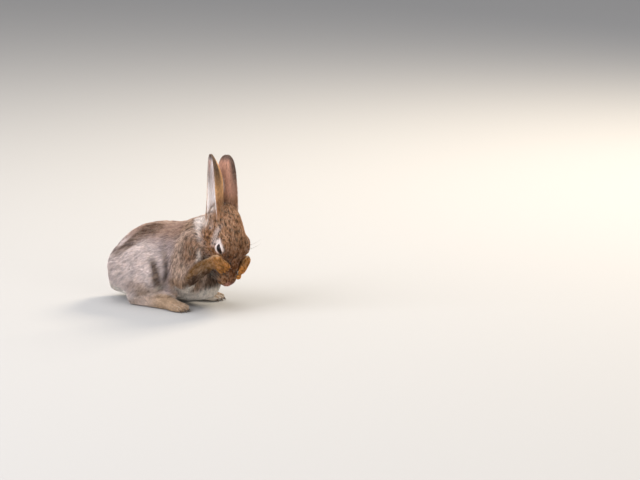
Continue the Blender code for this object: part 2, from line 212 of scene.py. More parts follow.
def gathered(items: bpy.types.bpy_prop_collection, name: str, width: int, kind: type = np.float32) -> Array:
    """Reads one property of all items of a mesh at once.

    Args:
        items: the mesh's points, edges or triangles.
        name: the property.
        width: how many numbers it has.
        kind: the numbers' type.

    Returns:
        One row for each item.
    """
    flat = np.empty(len(items) * width, kind)
    items.foreach_get(name, flat)
    return flat.reshape(-1, width)


def coordinates(mesh: Mesh) -> Array:
    """A mesh's points in millimetres, one a row."""
    return gathered(mesh.vertices, "co", 3).astype(float) / MM


def place_points(mesh: Mesh, points: Array) -> None:
    """Moves a mesh's points.

    Args:
        mesh: the mesh to change.
        points: its new points in millimetres.
    """
    mesh.vertices.foreach_set("co", (points * MM).astype(np.float32).ravel())
    mesh.update()


def point_normals(mesh: Mesh) -> Array:
    """A mesh's normals, one for each point."""
    return gathered(mesh.vertex_normals, "vector", 3).astype(float)


def lay_markings(mesh: Mesh, colours: Array) -> None:
    """Keeps a colour for each point of a mesh.

    Args:
        mesh: the mesh, of skin or coat.
        colours: linear red, green and blue, one point a row.
    """
    opaque = np.ones((len(colours), 4), np.float32)
    opaque[:, :3] = colours
    mesh.color_attributes.new(MARKINGS, "FLOAT_COLOR", "POINT").data.foreach_set("color", opaque.ravel())


def link(name: str, mesh: Mesh) -> Object:
    """Puts a mesh into the scene as an object at the origin.

    Args:
        name: the object's name.
        mesh: its mesh.

    Returns:
        The object.
    """
    made = bpy.data.objects.new(name, mesh)
    bpy.context.scene.collection.objects.link(made)
    return made


def poured(name: str, clay: BMesh) -> Object:
    """Makes a scene object of a bmesh, which is freed.

    Args:
        name: the object's name.
        clay: the bmesh.

    Returns:
        The object.
    """
    mesh = bpy.data.meshes.new(name)
    clay.to_mesh(mesh)
    clay.free()
    return link(name, mesh)


def polished(name: str, clay: BMesh) -> Object:
    """Makes a smoothly shaded scene object of a closed bmesh, with its faces outwards.

    Args:
        name: the object's name.
        clay: the bmesh, which is freed.

    Returns:
        The object.
    """
    bmesh.ops.recalc_face_normals(clay, faces=clay.faces[:])
    piece = poured(name, clay)
    piece.data.shade_smooth()
    return piece


def bridged(clay: BMesh, one: list[BMVert], other: list[BMVert]) -> None:
    """Joins two rings with a band of faces.

    Args:
        clay: the bmesh that they are in.
        one: the first ring's points.
        other: the second ring's points.
    """
    edges = [e for ring in (one, other) for v in ring for e in v.link_edges if e.other_vert(v) in ring]
    bmesh.ops.bridge_loops(clay, edges=list(dict.fromkeys(edges)))


def settled(obj: Object) -> Object:
    """Applies an object's modifiers to its mesh.

    Args:
        obj: the object to change.

    Returns:
        The same object.
    """
    bpy.context.view_layer.update()
    graph = bpy.context.evaluated_depsgraph_get()
    mesh = bpy.data.meshes.new_from_object(obj.evaluated_get(graph))
    obj.modifiers.clear()
    obj.data = mesh
    return obj


def modified(obj: Object, kind: str, **settings: object) -> Object:
    """Runs one modifier over an object and applies it.

    Args:
        obj: the object to change.
        kind: the modifier's type.
        **settings: its settings.

    Returns:
        The same object.
    """
    modifier = obj.modifiers.new(kind.lower(), kind)
    for name, value in settings.items():
        setattr(modifier, name, value)
    return settled(obj)


class Weave:
    """The links between the points of a mesh, along which values are evened out."""

    MOST = 8  # neighbours that count for one point
    OWN = 0.4  # the weight of a point's own value

    def __init__(self, mesh: Mesh) -> None:
        """Lists the neighbours of each point.

        Args:
            mesh: the mesh whose points are meant.
        """
        edges = gathered(mesh.edges, "vertices", 2, np.int32)
        both = np.concatenate([edges, edges[:, ::-1]])
        both = both[np.argsort(both[:, 0], kind="stable")]
        count = len(mesh.vertices)
        rank = np.arange(len(both)) - np.searchsorted(both[:, 0], np.arange(count))[both[:, 0]]
        self.table = np.repeat(np.arange(count)[:, None], self.MOST, axis=1)
        kept = rank < self.MOST
        self.table[both[kept, 0], rank[kept]] = both[kept, 1]

    def evened(self, values: Array, rounds: int) -> Array:
        """Blends each point's value with its neighbours' again and again.

        Args:
            values: one row or number for each point.
            rounds: how many times.

        Returns:
            The blended values.
        """
        for _ in range(rounds):
            values = self.OWN * values + (1 - self.OWN) * values[self.table].mean(1)
        return values


# ---- Finishes ----


def add_node(tree: NodeTree, kind: str, inputs: dict[str | int, object], **settings: object) -> Node:
    """Adds one shader node with its settings and links.

    Args:
        tree: the node tree to add to.
        kind: the node's type.
        inputs: what each named input is linked to or set to.
        **settings: the node's own settings.

    Returns:
        The new node.
    """
    made = tree.nodes.new(kind)
    for name, value in settings.items():
        setattr(made, name, value)
    for name, value in inputs.items():
        if isinstance(value, bpy.types.NodeSocket):
            tree.links.new(value, made.inputs[name])
        else:
            made.inputs[name].default_value = value
    return made


def new_material(name: str, settings: dict[str, object]) -> tuple[Material, NodeTree, Node]:
    """Starts a material.

    Args:
        name: what the material really is.
        settings: what each named socket of its shader is set to.

    Returns:
        The material, its node tree and its Principled shader.
    """
    material = bpy.data.materials.new(name)
    material.use_nodes = True
    shader = material.node_tree.nodes["Principled BSDF"]
    for socket, value in settings.items():
        shader.inputs[socket].default_value = value
    return material, material.node_tree, shader


KERATIN_IOR = 1.55
SKIN_IOR = 1.4
CORNEA_IOR = 1.376


@dataclass(frozen=True)
class HairFinish:
    """Keratin hair in soft locks: matt, with a faint bloom where light grazes it."""

    name: str
    roughness: float = 0.82
    sheen: float = 0.1

    def material(self) -> Material:
        """Mixes the hair's material, coloured by the markings that each lock carries.

        Returns:
            The material.
        """
        settings = {
            "Roughness": self.roughness,
            "IOR": KERATIN_IOR,
            "Specular IOR Level": 0.12,
            "Sheen Weight": self.sheen,
            "Sheen Roughness": 0.45,
        }
        made, tree, shader = new_material(self.name, settings)
        markings = add_node(tree, "ShaderNodeVertexColor", {}, layer_name=MARKINGS)
        tree.links.new(markings.outputs["Color"], shader.inputs["Base Color"])
        return made


@dataclass(frozen=True)
class HideFinish:
    """Living skin with down on it: matt and faintly mottled, with pores drawn coarse enough to show."""

    name: str
    pore_mm: float = 0.5
    mottle_mm: float = 4.0

    def material(self) -> Material:
        """Mixes the skin's material, coloured by the same markings as the coat.

        Returns:
            The material.
        """
        made, tree, shader = new_material(
            self.name, {"Roughness": 0.62, "IOR": SKIN_IOR, "Sheen Weight": 0.15}
        )
        place = add_node(tree, "ShaderNodeTexCoord", {})
        markings = add_node(tree, "ShaderNodeVertexColor", {}, layer_name=MARKINGS)
        swells = {"Vector": place.outputs["Object"], "Scale": 1 / (self.mottle_mm * MM), "Detail": 3.0}
        mottle = add_node(tree, "ShaderNodeTexNoise", swells)
        shades = {"Value": mottle.outputs["Fac"], "To Min": 0.86, "To Max": 1.12}
        shade = add_node(tree, "ShaderNodeMapRange", shades)
        scaled = {0: markings.outputs["Color"], 3: shade.outputs["Result"]}
        tinted = add_node(tree, "ShaderNodeVectorMath", scaled, operation="SCALE")
        dots = {"Vector": place.outputs["Object"], "Scale": 1 / (self.pore_mm * MM), "Detail": 2.0}
        pores = add_node(tree, "ShaderNodeTexNoise", dots)
        pressed = {"Height": pores.outputs["Fac"], "Distance": 0.15 * MM, "Strength": 0.6}
        relief = add_node(tree, "ShaderNodeBump", pressed)
        tree.links.new(tinted.outputs[0], shader.inputs["Base Color"])
        tree.links.new(relief.outputs["Normal"], shader.inputs["Normal"])
        return made


@dataclass(frozen=True)
class EyeFinish:
    """A wet eye: a clear cornea over a near-black pupil and a dark brown iris with fine spokes.

    The pupil and the iris are measured along the eyeball, and so is the reach over which their colours run.
    """

    name: str = "wet_eye"
    pupil_mm: float = 2.9
    iris_mm: float = 5.6
    reach_mm: float = 8.0

    def material(self) -> Material:
        """Mixes the eyeball's material, which reads how far each point lies from the pupil.

        Returns:
            The material.
        """
        settings = {
            "Roughness": 0.12,
            "IOR": CORNEA_IOR,
            "Specular IOR Level": 0.16,
            "Coat Weight": 0.07,
            "Coat Roughness": 0.03,
        }
        made, tree, shader = new_material(self.name, settings)
        reach = add_node(tree, "ShaderNodeAttribute", {}, attribute_name=Eye.REACH)
        fine = {"Vector": reach.outputs["Vector"], "Scale": 26.0, "Detail": 2.0}
        spokes = add_node(tree, "ShaderNodeTexNoise", fine)
        frayed = {0: spokes.outputs["Fac"], 1: 0.7, 2: reach.outputs["Fac"]}
        ragged = add_node(tree, "ShaderNodeMath", frayed, operation="MULTIPLY_ADD")
        span = {"Value": ragged.outputs[0], "From Min": 0.0, "From Max": self.reach_mm}
        share = add_node(tree, "ShaderNodeMapRange", span)
        ramp = add_node(tree, "ShaderNodeValToRGB", {"Fac": share.outputs["Result"]})
        pupil, iris = self.pupil_mm / self.reach_mm, self.iris_mm / self.reach_mm
        stops = ((pupil, "#0a0706"), (pupil + 0.05, "#2c1a10"), (iris, "#1d120c"), (iris + 0.08, "#0d0807"))
        while len(ramp.color_ramp.elements) < len(stops):
            ramp.color_ramp.elements.new(1.0)
        for element, (position, code) in zip(ramp.color_ramp.elements, stops):
            element.position = position
            element.color = (*linear(code), 1.0)
        tree.links.new(ramp.outputs["Color"], shader.inputs["Base Color"])
        return made


@dataclass(frozen=True)
class LidFinish:
    """The lids' naked margin: dark, moist skin with a soft shine."""

    name: str = "moist_lid_skin"
    colour: str = "#2a1d17"
    crease_mm: float = 0.4

    def material(self) -> Material:
        """Mixes the lid margin's material, faintly creased.

        Returns:
            The material.
        """
        made, tree, shader = new_material(
            self.name, {"Base Color": (*linear(self.colour), 1.0), "Roughness": 0.38, "IOR": SKIN_IOR}
        )
        place = add_node(tree, "ShaderNodeTexCoord", {})
        folds = {"Vector": place.outputs["Object"], "Scale": 1 / (self.crease_mm * MM), "Detail": 2.0}
        creases = add_node(tree, "ShaderNodeTexNoise", folds)
        pressed = {"Height": creases.outputs["Fac"], "Distance": 0.1 * MM, "Strength": 0.5}
        relief = add_node(tree, "ShaderNodeBump", pressed)
        tree.links.new(relief.outputs["Normal"], shader.inputs["Normal"])
        return made


@dataclass(frozen=True)
class HornFinish:
    """Claw horn or a whisker's shaft: smooth keratin, darker towards the root and clear at the tip."""

    name: str
    root: str
    tip: str
    roughness: float = 0.35

    def material(self) -> Material:
        """Mixes the horn's material, from root colour to tip colour along each piece's own length.

        Returns:
            The material.
        """
        made, tree, shader = new_material(self.name, {"Roughness": self.roughness, "IOR": KERATIN_IOR})
        along = add_node(tree, "ShaderNodeAttribute", {}, attribute_name=Horn.ALONG)
        ends = {0: along.outputs["Fac"], 6: (*linear(self.root), 1.0), 7: (*linear(self.tip), 1.0)}
        blend = add_node(tree, "ShaderNodeMix", ends, data_type="RGBA")
        tree.links.new(blend.outputs[2], shader.inputs["Base Color"])
        return made


# ---- Landmarks ----


@dataclass
class Skull:
    """The head's own axes: along from the back of the skull to the nose, side to the rabbit's left, up out of
    the forehead.

    They are found again from the two eyeballs, which mark known points of the head.
    """

    turn: float = math.radians(-16)
    bow: float = math.radians(82)
    tilt: float = math.radians(-4)
    eye_along: float = 43.0
    eye_side: float = 13.2
    eye_up: float = 7.0
    eye_radius: float = 6.8
    axes: Array = field(init=False)
    origin: Array = field(init=False)

    def __post_init__(self) -> None:
        """Works out the axes, one a column, and the back of the skull, in the rabbit's frame."""
        turned = Matrix.Rotation(self.turn, 3, "Z") @ Matrix.Rotation(self.bow, 3, "Y")
        self.axes = np.array(turned @ Matrix.Rotation(self.tilt, 3, "Z"))
        corners = [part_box(f"eye_{side.word}") for side in Side]
        middle = np.mean([(np.array(low) + np.array(high)) / 2 for low, high in corners], axis=0) / MM
        self.origin = middle - self.axes @ np.array([self.eye_along, 0.0, self.eye_up])

    def outward(self, points: Array) -> Array:
        """Places given in the head's axes, in the rabbit's frame."""
        return np.asarray(points) @ self.axes.T + self.origin

    def inward(self, points: Array) -> Array:
        """Places given in the rabbit's frame, in the head's axes."""
        return (points - self.origin) @ self.axes

    def eye(self, side: Side) -> Array:
        """The middle of an eyeball, in the head's axes."""
        return np.array([self.eye_along, side.value * self.eye_side, self.eye_up])


@dataclass(frozen=True)
class Pelt:
    """How the coat grows on one named part of the body.

    depth is how far the skin lies under the tips, length and width are a lock's, density is in locks for each
    square millimetre, lie is the way the hair points on the left side, with Y outwards, and ticking is how
    strongly the hairs are banded.
    """

    depth: float
    length: float
    width: float
    density: float
    lie: tuple[float, float, float]
    ticking: float = 1.0


PELTS: dict[str, Pelt] = {
    "abdomen": Pelt(4.2, 10.5, 0.42, 2.10, (-0.88, 0.05, -0.45)),
    "rump": Pelt(4.2, 10.5, 0.42, 2.10, (-0.66, 0.0, -0.75)),
    "thigh": Pelt(4.0, 10.0, 0.42, 2.10, (-0.80, 0.0, -0.60)),
    "chest": Pelt(3.8, 7.6, 0.42, 2.40, (-0.45, 0.05, -0.85)),
    "upper_arm": Pelt(3.2, 6.6, 0.40, 2.50, (-0.15, 0.0, -1.0)),
    "neck": Pelt(3.6, 8.5, 0.42, 2.20, (-0.85, 0.0, -0.40)),
    "lower_leg": Pelt(2.4, 6.0, 0.40, 2.20, (-0.55, 0.0, -0.80)),
    "hind_foot": Pelt(1.1, 3.6, 0.36, 2.30, (1.0, 0.0, -0.10), 0.7),
    "tail": Pelt(3.8, 9.5, 0.42, 3.00, (-0.45, 0.0, -0.85), 0.5),
    "head": Pelt(1.25, 3.6, 0.31, 3.30, (0.0, 0.0, 1.0)),
    "ear": Pelt(0.35, 1.9, 0.24, 2.80, (0.0, 0.0, 1.0), 0.45),
    "forearm": Pelt(1.6, 4.8, 0.36, 2.70, (0.7, 0.0, 0.7), 0.9),
    "forepaw": Pelt(0.9, 2.6, 0.30, 3.30, (0.5, 0.0, -0.8), 0.6),
}


class Surface:
    """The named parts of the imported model, as one surface that tells which part any place belongs to."""

    def __init__(self, nodes: dict[str, Object]) -> None:
        """Gathers the faces of every part but the eyes.

        Args:
            nodes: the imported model's nodes.
        """
        self.names = sorted(name for name in nodes if not name.startswith("eye"))
        points, faces, owner, start = [], [], [], 0
        for index, name in enumerate(self.names):
            mesh = nodes[name].data
            points.append(coordinates(mesh))
            for polygon in mesh.polygons:
                faces.append([start + corner for corner in polygon.vertices])
                owner.append(index)
            start += len(mesh.vertices)
        self.owner = np.array(owner)
        self.tree = BVHTree.FromPolygons(np.concatenate(points).tolist(), faces)

    def shares(self, mesh: Mesh, weave: Weave, reach: float, rounds: int) -> Array:
        """How much each point of a mesh belongs to each named part.

        Args:
            mesh: the mesh to label.
            weave: its links.
            reach: how far outside the mesh the part is looked for, in millimetres.
            rounds: how often the labels are evened out.

        Returns:
            One row for each point and one column for each name.
        """
        places = coordinates(mesh) + reach * point_normals(mesh)
        found = [self.tree.find_nearest(place)[2] for place in places.tolist()]
        one_hot = np.zeros((len(places), len(self.names)), np.float32)
        one_hot[np.arange(len(places)), self.owner[found]] = 1
        return weave.evened(one_hot, rounds)

    def column(self, shares: Array, *starts: str) -> Array:
        """The summed share of the parts whose names start with any of the given words."""
        kept = [name.startswith(starts) for name in self.names]
        return shares[:, kept].sum(1)

    def pelt(self, name: str) -> Pelt:
        """How the coat grows on a part."""
        return next(pelt for key, pelt in PELTS.items() if name.startswith(key))

    def measured(self, shares: Array, quantity: str) -> Array:
        """A quantity of the pelt at each point, blended over the borders between parts."""
        return shares @ np.array([getattr(self.pelt(name), quantity) for name in self.names])


# ---- Ears ----


@dataclass(frozen=True)
class Ear:
    """One ear's skin in the head's axes: a hollow blade that faces outwards, away from the other ear.

    Across, the wall follows half an oval. depths and half_gaps are that oval's half-axes from root to tip,
    bluntness says how late and how roundly the ear narrows, and buried is the share of it inside the head.
    """

    side: Side
    root: tuple[float, float, float]
    tip: tuple[float, float, float]
    depths: tuple[float, ...]
    half_gaps: tuple[float, ...]
    bluntness: float
    wall: float = 1.15
    buried: float = 0.13

    def narrowing(self, share: Array, least: float) -> Array:
        """How the ear narrows towards its tip.

        Args:
            share: from 0 at the root to 1 at the tip.
            least: the square of what is left at the tip, so that it never closes.

        Returns:
            The share of its full width that is left.
        """
        return np.sqrt(np.maximum(1 - np.clip(share, 0, 1) ** self.bluntness, least))

    def places(self, across: Array, share: Array) -> Array:
        """Points of the blade's middle sheet.

        Args:
            across: from -1 at one rim to 1 at the other.
            share: from 0 at the root to 1 at the tip.

        Returns:
            Places in the head's axes.
        """
        narrowing = self.narrowing(share, 0.012)
        depth = catmull_rom(self.depths, share) * narrowing
        half_gap = catmull_rom(self.half_gaps, share) * narrowing
        turn = across * math.pi / 2
        middle = np.outer(1 - share, self.root) + np.outer(share, self.tip)
        back = np.stack(
            [np.zeros_like(turn), -self.side.value * depth * np.cos(turn), half_gap * np.sin(turn)], axis=1
        )
        return middle + back

    def build(self, skull: Skull) -> Object:
        """Makes the blade, closed and with rounded rims, running a little way into the head.

        Args:
            skull: the head's axes.

        Returns:
            The blade.
        """
        clay = bmesh.new()
        bmesh.ops.create_grid(clay, x_segments=24, y_segments=34, size=1.0)
        flat = np.array([vertex.co for vertex in clay.verts])
        rise = (flat[:, 1] + 1) / 2
        share = np.sin((rise * (1 + self.buried) - self.buried) * math.pi / 2)
        placed = skull.outward(self.places(flat[:, 0], share)) * MM
        for vertex, place in zip(clay.verts, placed):
            vertex.co = place
        bmesh.ops.recalc_face_normals(clay, faces=clay.faces[:])
        blade = poured(f"ear_blade_{self.side.word}", clay)
        modified(blade, "SOLIDIFY", thickness=self.wall * MM, offset=0.0)
        return modified(blade, "SUBSURF", levels=1, render_levels=1)

    def where(self, points: Array) -> tuple[Array, Array]:
        """Reads how far up the ear a place is, and how far it lies behind the line between root and tip.

        Args:
            points: places in the head's axes.

        Returns:
            The share of the way from root to tip, and the way from that line, one row each.
        """
        root, tip = np.array(self.root), np.array(self.tip)
        line = tip - root
        share = (points - root) @ line / (line @ line)
        return share, points - root - np.outer(share, line)


EARS = (
    Ear(
        side=Side.RIGHT,
        root=(15.0, -16.5, -3.4),
        tip=(-53.0, -15.5, -2.9),
        depths=(10.0, 12.0, 14.0, 15.0, 14.8, 11.5, 6.0),
        half_gaps=(8.5, 7.4, 6.4, 5.8, 5.4, 5.2, 5.2),
        bluntness=5.0,
    ),
    Ear(
        side=Side.LEFT,
        root=(15.0, 12.5, -6.0),
        tip=(-51.5, 8.5, -4.0),
        depths=(9.5, 9.2, 9.0, 8.8, 8.4, 8.0, 7.5),
        half_gaps=(9.0, 10.0, 11.0, 11.6, 11.8, 11.8, 11.8),
        bluntness=9.0,
    ),
)


# ---- Toes, grooves and lids ----


@dataclass(frozen=True)
class Toes:
    """Four toes side by side at the end of a paw, in the rabbit's frame.

    heel and tip are the ends of the paw's middle line, and sole is the way its underside faces. Between two
    toes the gap is pressed in from start onwards, a share of the line, as deep as thickness says, and cleft
    is half its width. reaches are the toes' lengths as shares of the line, and droop is how far towards the
    sole their tips lie.
    """

    node: str
    heel: Array
    tip: Array
    sole: Array
    spacing: float
    start: float
    thickness: float
    claw: float
    droop: float = 0.0
    reaches: tuple[float, ...] = (0.965, 1.0, 1.0, 0.965)
    cleft: float = 0.75

    def axes(self) -> Array:
        """Finds the paw's own axes.

        Returns:
            Along the paw, across it, and out of its sole, one a column.
        """
        along = unit(self.tip - self.heel)
        across = unit(np.cross(along, self.sole))
        return np.stack([along, across, np.cross(across, along)], axis=1)

    def pressed(self, points: Array) -> Array:
        """Tells how deep each place lies in the gap between two toes, which spread towards their tips.

        Args:
            points: places in the rabbit's frame.

        Returns:
            From 0 on a toe to 1 in the middle of a gap.
        """
        local = (points - self.heel) @ self.axes()
        length = np.linalg.norm(self.tip - self.heel)
        share = local[:, 0] / length
        fan = self.spacing * (0.72 + 0.28 * np.clip(share, 0, 1))
        step = local[:, 1] / fan
        gap = np.abs(step - np.clip(np.round(step), -1, 1)) * fan
        return np.exp(-((gap / self.cleft) ** 2)) * ease(share, self.start, self.start + 0.3)

    def ends(self) -> list[tuple[Array, Array]]:
        """Finds where the claws sit.

        Returns:
            The tip of each toe and the way it points.
        """
        axes, length = self.axes(), np.linalg.norm(self.tip - self.heel)
        found = []
        for toe, reach in enumerate(self.reaches):
            place = np.array([length * reach, (toe - 1.5) * self.spacing, self.droop])
            way = unit(np.array([1.0, 0.10 * (toe - 1.5), 0.35]))
            found.append((self.heel + axes @ place, axes @ way))
        return found


def forepaws(skull: Skull) -> list[Toes]:
    """Places the toes of the two raised forepaws, which lie along the muzzle with their palms towards it.

    Args:
        skull: the head's axes.

    Returns:
        The right paw's toes and the left's.
    """
    found = []
    for side, heel, tip, facing in (
        (Side.RIGHT, (53.5, -21.0, 6.5), (66.0, -12.4, 10.0), (60.0, 0.0, 0.0)),
        (Side.LEFT, (56.0, 18.0, 7.3), (73.0, 6.4, 7.0), (65.0, 0.0, -1.0)),
    ):
        ends = skull.outward(np.array([heel, tip, facing]))
        sole = unit(ends[2] - (ends[0] + ends[1]) / 2)
        sizes = {"spacing": 3.3, "start": 0.58, "thickness": 2.3, "claw": 3.9, "droop": 1.2}
        found.append(Toes(f"forepaw_{side.word}", ends[0], ends[1], sole, **sizes))
    return found


def hind_feet() -> list[Toes]:
    """Places the toes of the two hind feet, flat on the floor.

    Returns:
        The right foot's toes and the left's.
    """
    found = []
    for side in Side:
        low, high = (np.array(corner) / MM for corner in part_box(f"hind_foot_{side.word}"))
        middle = (low + high)[1] / 2
        heel = np.array([low[0], middle - side.value * 1.4, 4.0])
        tip = np.array([high[0] - 3.0, middle + side.value * 2.0, 3.4])
        sizes = {"spacing": 4.9, "start": 0.70, "thickness": 2.8, "claw": 5.2}
        found.append(Toes(f"hind_foot_{side.word}", heel, tip, np.array([0.0, 0.0, -1.0]), **sizes))
    return found


@dataclass(frozen=True)
class Groove:
    """A groove along a line on the head, given in the head's axes."""

    line: tuple[tuple[float, float, float], ...]
    depth: float
    width: float

    def mirrored(self) -> "Groove":
        """The same groove on the other side of the head."""
        return Groove(tuple((a, -s, u) for a, s, u in self.line), self.depth, self.width)

    def near(self, local: Array) -> Array:
        """Tells how close each place lies to the groove.

        Args:
            local: places in the head's axes.

        Returns:
            From 1 on its line to 0 away from it.
        """
        best = np.full(len(local), np.inf)
        for start, end in zip(np.array(self.line), np.array(self.line)[1:]):
            way = end - start
            share = np.clip((local - start) @ way / (way @ way), 0, 1)
            best = np.minimum(best, np.linalg.norm(local - start - share[:, None] * way, axis=1))
        return np.exp(-((best / self.width) ** 2))


NOSTRIL = Groove(((81.6, 1.3, 0.3), (81.2, 2.8, -0.6), (80.0, 4.2, -2.0)), 1.0, 0.55)
PHILTRUM = Groove(((82.4, 0.0, -2.4), (81.5, 0.0, -5.0), (79.6, 0.0, -7.6)), 1.0, 0.6)
LIP = Groove(((79.6, 0.0, -7.6), (77.6, 2.6, -8.7), (73.5, 5.2, -8.7)), 1.1, 0.7)
FACE_GROOVES = (NOSTRIL, NOSTRIL.mirrored(), PHILTRUM, LIP, LIP.mirrored())
EAR_NOTCHES = (
    Groove(((20.5, -18.6, -3.2), (15.0, -18.4, -3.3), (7.0, -19.5, -3.2)), 2.6, 2.3),
    Groove(((20.5, 17.6, -6.0), (15.0, 17.0, -6.0), (7.0, 17.5, -6.0)), 2.6, 2.6),
)


# ---- Skin ----


@dataclass(frozen=True)
class Lids:
    """The almond between an eye's lids, in the head's axes round the eyeball's middle.

    lift and slant place it on the eyeball. Nearer than reach the skin begins to follow the eyeball, and
    nearer than hug it lies drape above it. Between the lids it goes down to sunk below the eyeball's
    surface, over the width of the lip.
    """

    half_length: float = 5.3
    half_height: float = 2.2
    lift: float = 1.9
    slant: float = 0.2
    drape: float = 0.75
    reach: float = 9.5
    hug: float = 6.5
    sunk: float = 1.3
    lip: tuple[float, float] = (-0.45, 0.05)

    def gap(self, along: Array, up: Array) -> Array:
        """Tells how far places lie outside the almond's edge.

        Args:
            along: how far towards the nose from the eyeball's middle.
            up: how far above it.

        Returns:
            The distance, which is below 0 inside the almond.
        """
        up = up - self.lift - self.slant * along
        open_here = self.half_height * np.clip(1 - (along / self.half_length) ** 2, 0, 1) ** 0.8
        beyond = np.maximum(np.abs(along) - self.half_length, 0)
        return np.hypot(np.maximum(np.abs(up) - open_here, 0), beyond) - np.where(
            beyond > 0, 0, np.maximum(open_here - np.abs(up), 0)
        )


def small_islands(clay: BMesh, fewest: int) -> list[BMVert]:
    """Finds the points of loose crumbs.

    Args:
        clay: the bmesh to look through.
        fewest: how many points a piece has at least to be kept.

    Returns:
        The crumbs' points.
    """
    seen, crumbs = set(), []
    for vertex in clay.verts:
        if vertex in seen:
            continue
        seen.add(vertex)
        island = [vertex]
        for member in island:
            for edge in member.link_edges:
                other = edge.other_vert(member)
                if other not in seen:
                    seen.add(other)
                    island.append(other)
        if len(island) < fewest:
            crumbs += island
    return crumbs


class Skin:
    """One closed skin that takes the place of the flesh and the ears."""

    GRAIN = 1.45  # the voxels of the trunk and head
    LIMB_GRAIN = 1.0  # the voxels of the forelegs
    GROWTH = 0.55  # what each part swells before they fuse, to close the cuts between them
    LABEL_REACH = 1.2  # how far outside the skin its named part is looked for

    def __init__(self, nodes: dict[str, Object], skull: Skull, lids: Lids) -> None:
        """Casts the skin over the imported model.

        Args:
            nodes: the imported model's nodes.
            skull: the head's axes.
            lids: the almond between the lids.
        """
        self.nodes = nodes
        self.skull = skull
        self.lids = lids
        self.toes = [*forepaws(skull), *hind_feet()]
        self.surface = Surface(nodes)
        self.object = self.cast()
        self.mesh = self.object.data
        self.label()

    def label(self) -> None:
        """Links the skin's points, and says how much each belongs to each named part."""
        self.weave = Weave(self.mesh)
        self.shares = self.surface.shares(self.mesh, self.weave, self.LABEL_REACH, 14)

    def moulded(self, name: str, parts: list[str], grain: float, rounds: int) -> Object:
        """Casts several parts of the model as one closed shell, sunk by the depth of their coat.

        Args:
            name: the shell's name.
            parts: the nodes to cast.
            grain: the voxel size.
            rounds: how often it is smoothed.

        Returns:
            The shell.
        """
        clay = bmesh.new()
        for part in parts:
            clay.from_mesh(self.nodes[part].data)
        bmesh.ops.remove_doubles(clay, verts=clay.verts[:], dist=0.01 * MM)
        shell = poured(name, clay)
        modified(shell, "DISPLACE", mid_level=0.0, strength=self.GROWTH * MM)
        modified(shell, "REMESH", mode="VOXEL", voxel_size=grain * MM)
        modified(shell, "SMOOTH", factor=0.5, iterations=rounds)
        weave = Weave(shell.data)
        shares = self.surface.shares(shell.data, weave, 0.0, 22)
        depth = self.surface.measured(shares, "depth") + self.GROWTH
        inward = unit(weave.evened(point_normals(shell.data), 4))
        place_points(shell.data, coordinates(shell.data) - inward * depth[:, None])
        return modified(shell, "SMOOTH", factor=0.5, iterations=4)

    def cast(self) -> Object:
        """Makes the whole skin: trunk and head, then forelegs and ears joined to them.

        Returns:
            The skin.
        """
        raised = ("ear", "forearm", "forepaw")
        trunk = [name for name in self.nodes if not name.startswith(raised)]
        skin = self.moulded("skin", trunk, self.GRAIN, 8)
        limbs = [
            self.moulded(
                f"foreleg_{side.word}",
                [f"{part}_{side.word}" for part in ("upper_arm", "forearm", "forepaw")],
                self.LIMB_GRAIN,
                6,
            )
            for side in Side
        ]
        for piece in [*limbs, *(ear.build(self.skull) for ear in EARS)]:
            modified(skin, "BOOLEAN", operation="UNION", object=piece, solver="MANIFOLD")
            bpy.data.objects.remove(piece)
        clay = bmesh.new()
        clay.from_mesh(skin.data)
        bmesh.ops.delete(clay, geom=small_islands(clay, 200), context="VERTS")
        clay.to_mesh(skin.data)
        clay.free()
        return skin

    def finish(self) -> None:
        """Sculpts what shows through the coat."""
        self.refine()
        self.soften_seams()
        self.press_grooves()
        self.close_lids()

    def refine(self) -> None:
        """Divides the skin more finely round the eyes, the muzzle and the toes."""
        # Each place has its middle, how far round it, and how many times.
        places = [(self.skull.outward(self.skull.eye(side)), 9.5, 2) for side in Side]
        places += [(self.skull.outward(np.array([76.0, 0.0, -3.0])), 10.0, 2)]
        places += [((toes.heel + toes.tip * 4) / 5, toes.spacing * 2.6, 1) for toes in self.toes]
        for centre, reach, times in places:
            for _ in range(times):
                clay = bmesh.new()
                clay.from_mesh(self.mesh)
                middle = Vector(centre * MM)
                near = {v for v in clay.verts if (v.co - middle).length < reach * MM}
                edges = [e for e in clay.edges if e.verts[0] in near and e.verts[1] in near]
                bmesh.ops.subdivide_edges(clay, edges=edges, cuts=1, use_grid_fill=True)
                bmesh.ops.triangulate(clay, faces=[f for f in clay.faces if len(f.verts) > 4])
                clay.to_mesh(self.mesh)
                clay.free()
        self.label()

    def press_grooves(self) -> None:
        """Parts the toes, and presses in the nostrils, the lips and the notch at each ear's root."""
        points, normals = coordinates(self.mesh), point_normals(self.mesh)
        inward = np.zeros(len(points))
        for toes in self.toes:
            share = self.surface.column(self.shares, toes.node)
            inward += toes.thickness * toes.pressed(points) * share
        local = self.skull.inward(points)
        head = self.surface.column(self.shares, "head")
        for groove in (*FACE_GROOVES, *EAR_NOTCHES):
            inward += groove.depth * groove.near(local) * head
        place_points(self.mesh, points - unit(self.weave.evened(normals, 2)) * inward[:, None])

    def soften_seams(self) -> None:
        """Evens out the seams where each upper arm lies on the chest and each hind foot meets the belly."""
        points = coordinates(self.mesh)
        column = partial(self.surface.column, self.shares)
        arm = np.minimum(column("upper_arm"), column("chest", "abdomen", "neck")) + 0.35 * column("upper_arm")
        foot = np.minimum(column("hind_foot"), column("abdomen", "chest")) * ease(points[:, 0], -12, 0)
        seam = ease(arm, 0.02, 0.4) * ease(points[:, 2], 30, 44)
        seam = self.weave.evened(np.maximum(seam, ease(foot, 0.0, 0.1)), 10)
        evened = self.weave.evened(points, 60)
        place_points(self.mesh, points + (evened - points) * seam[:, None])

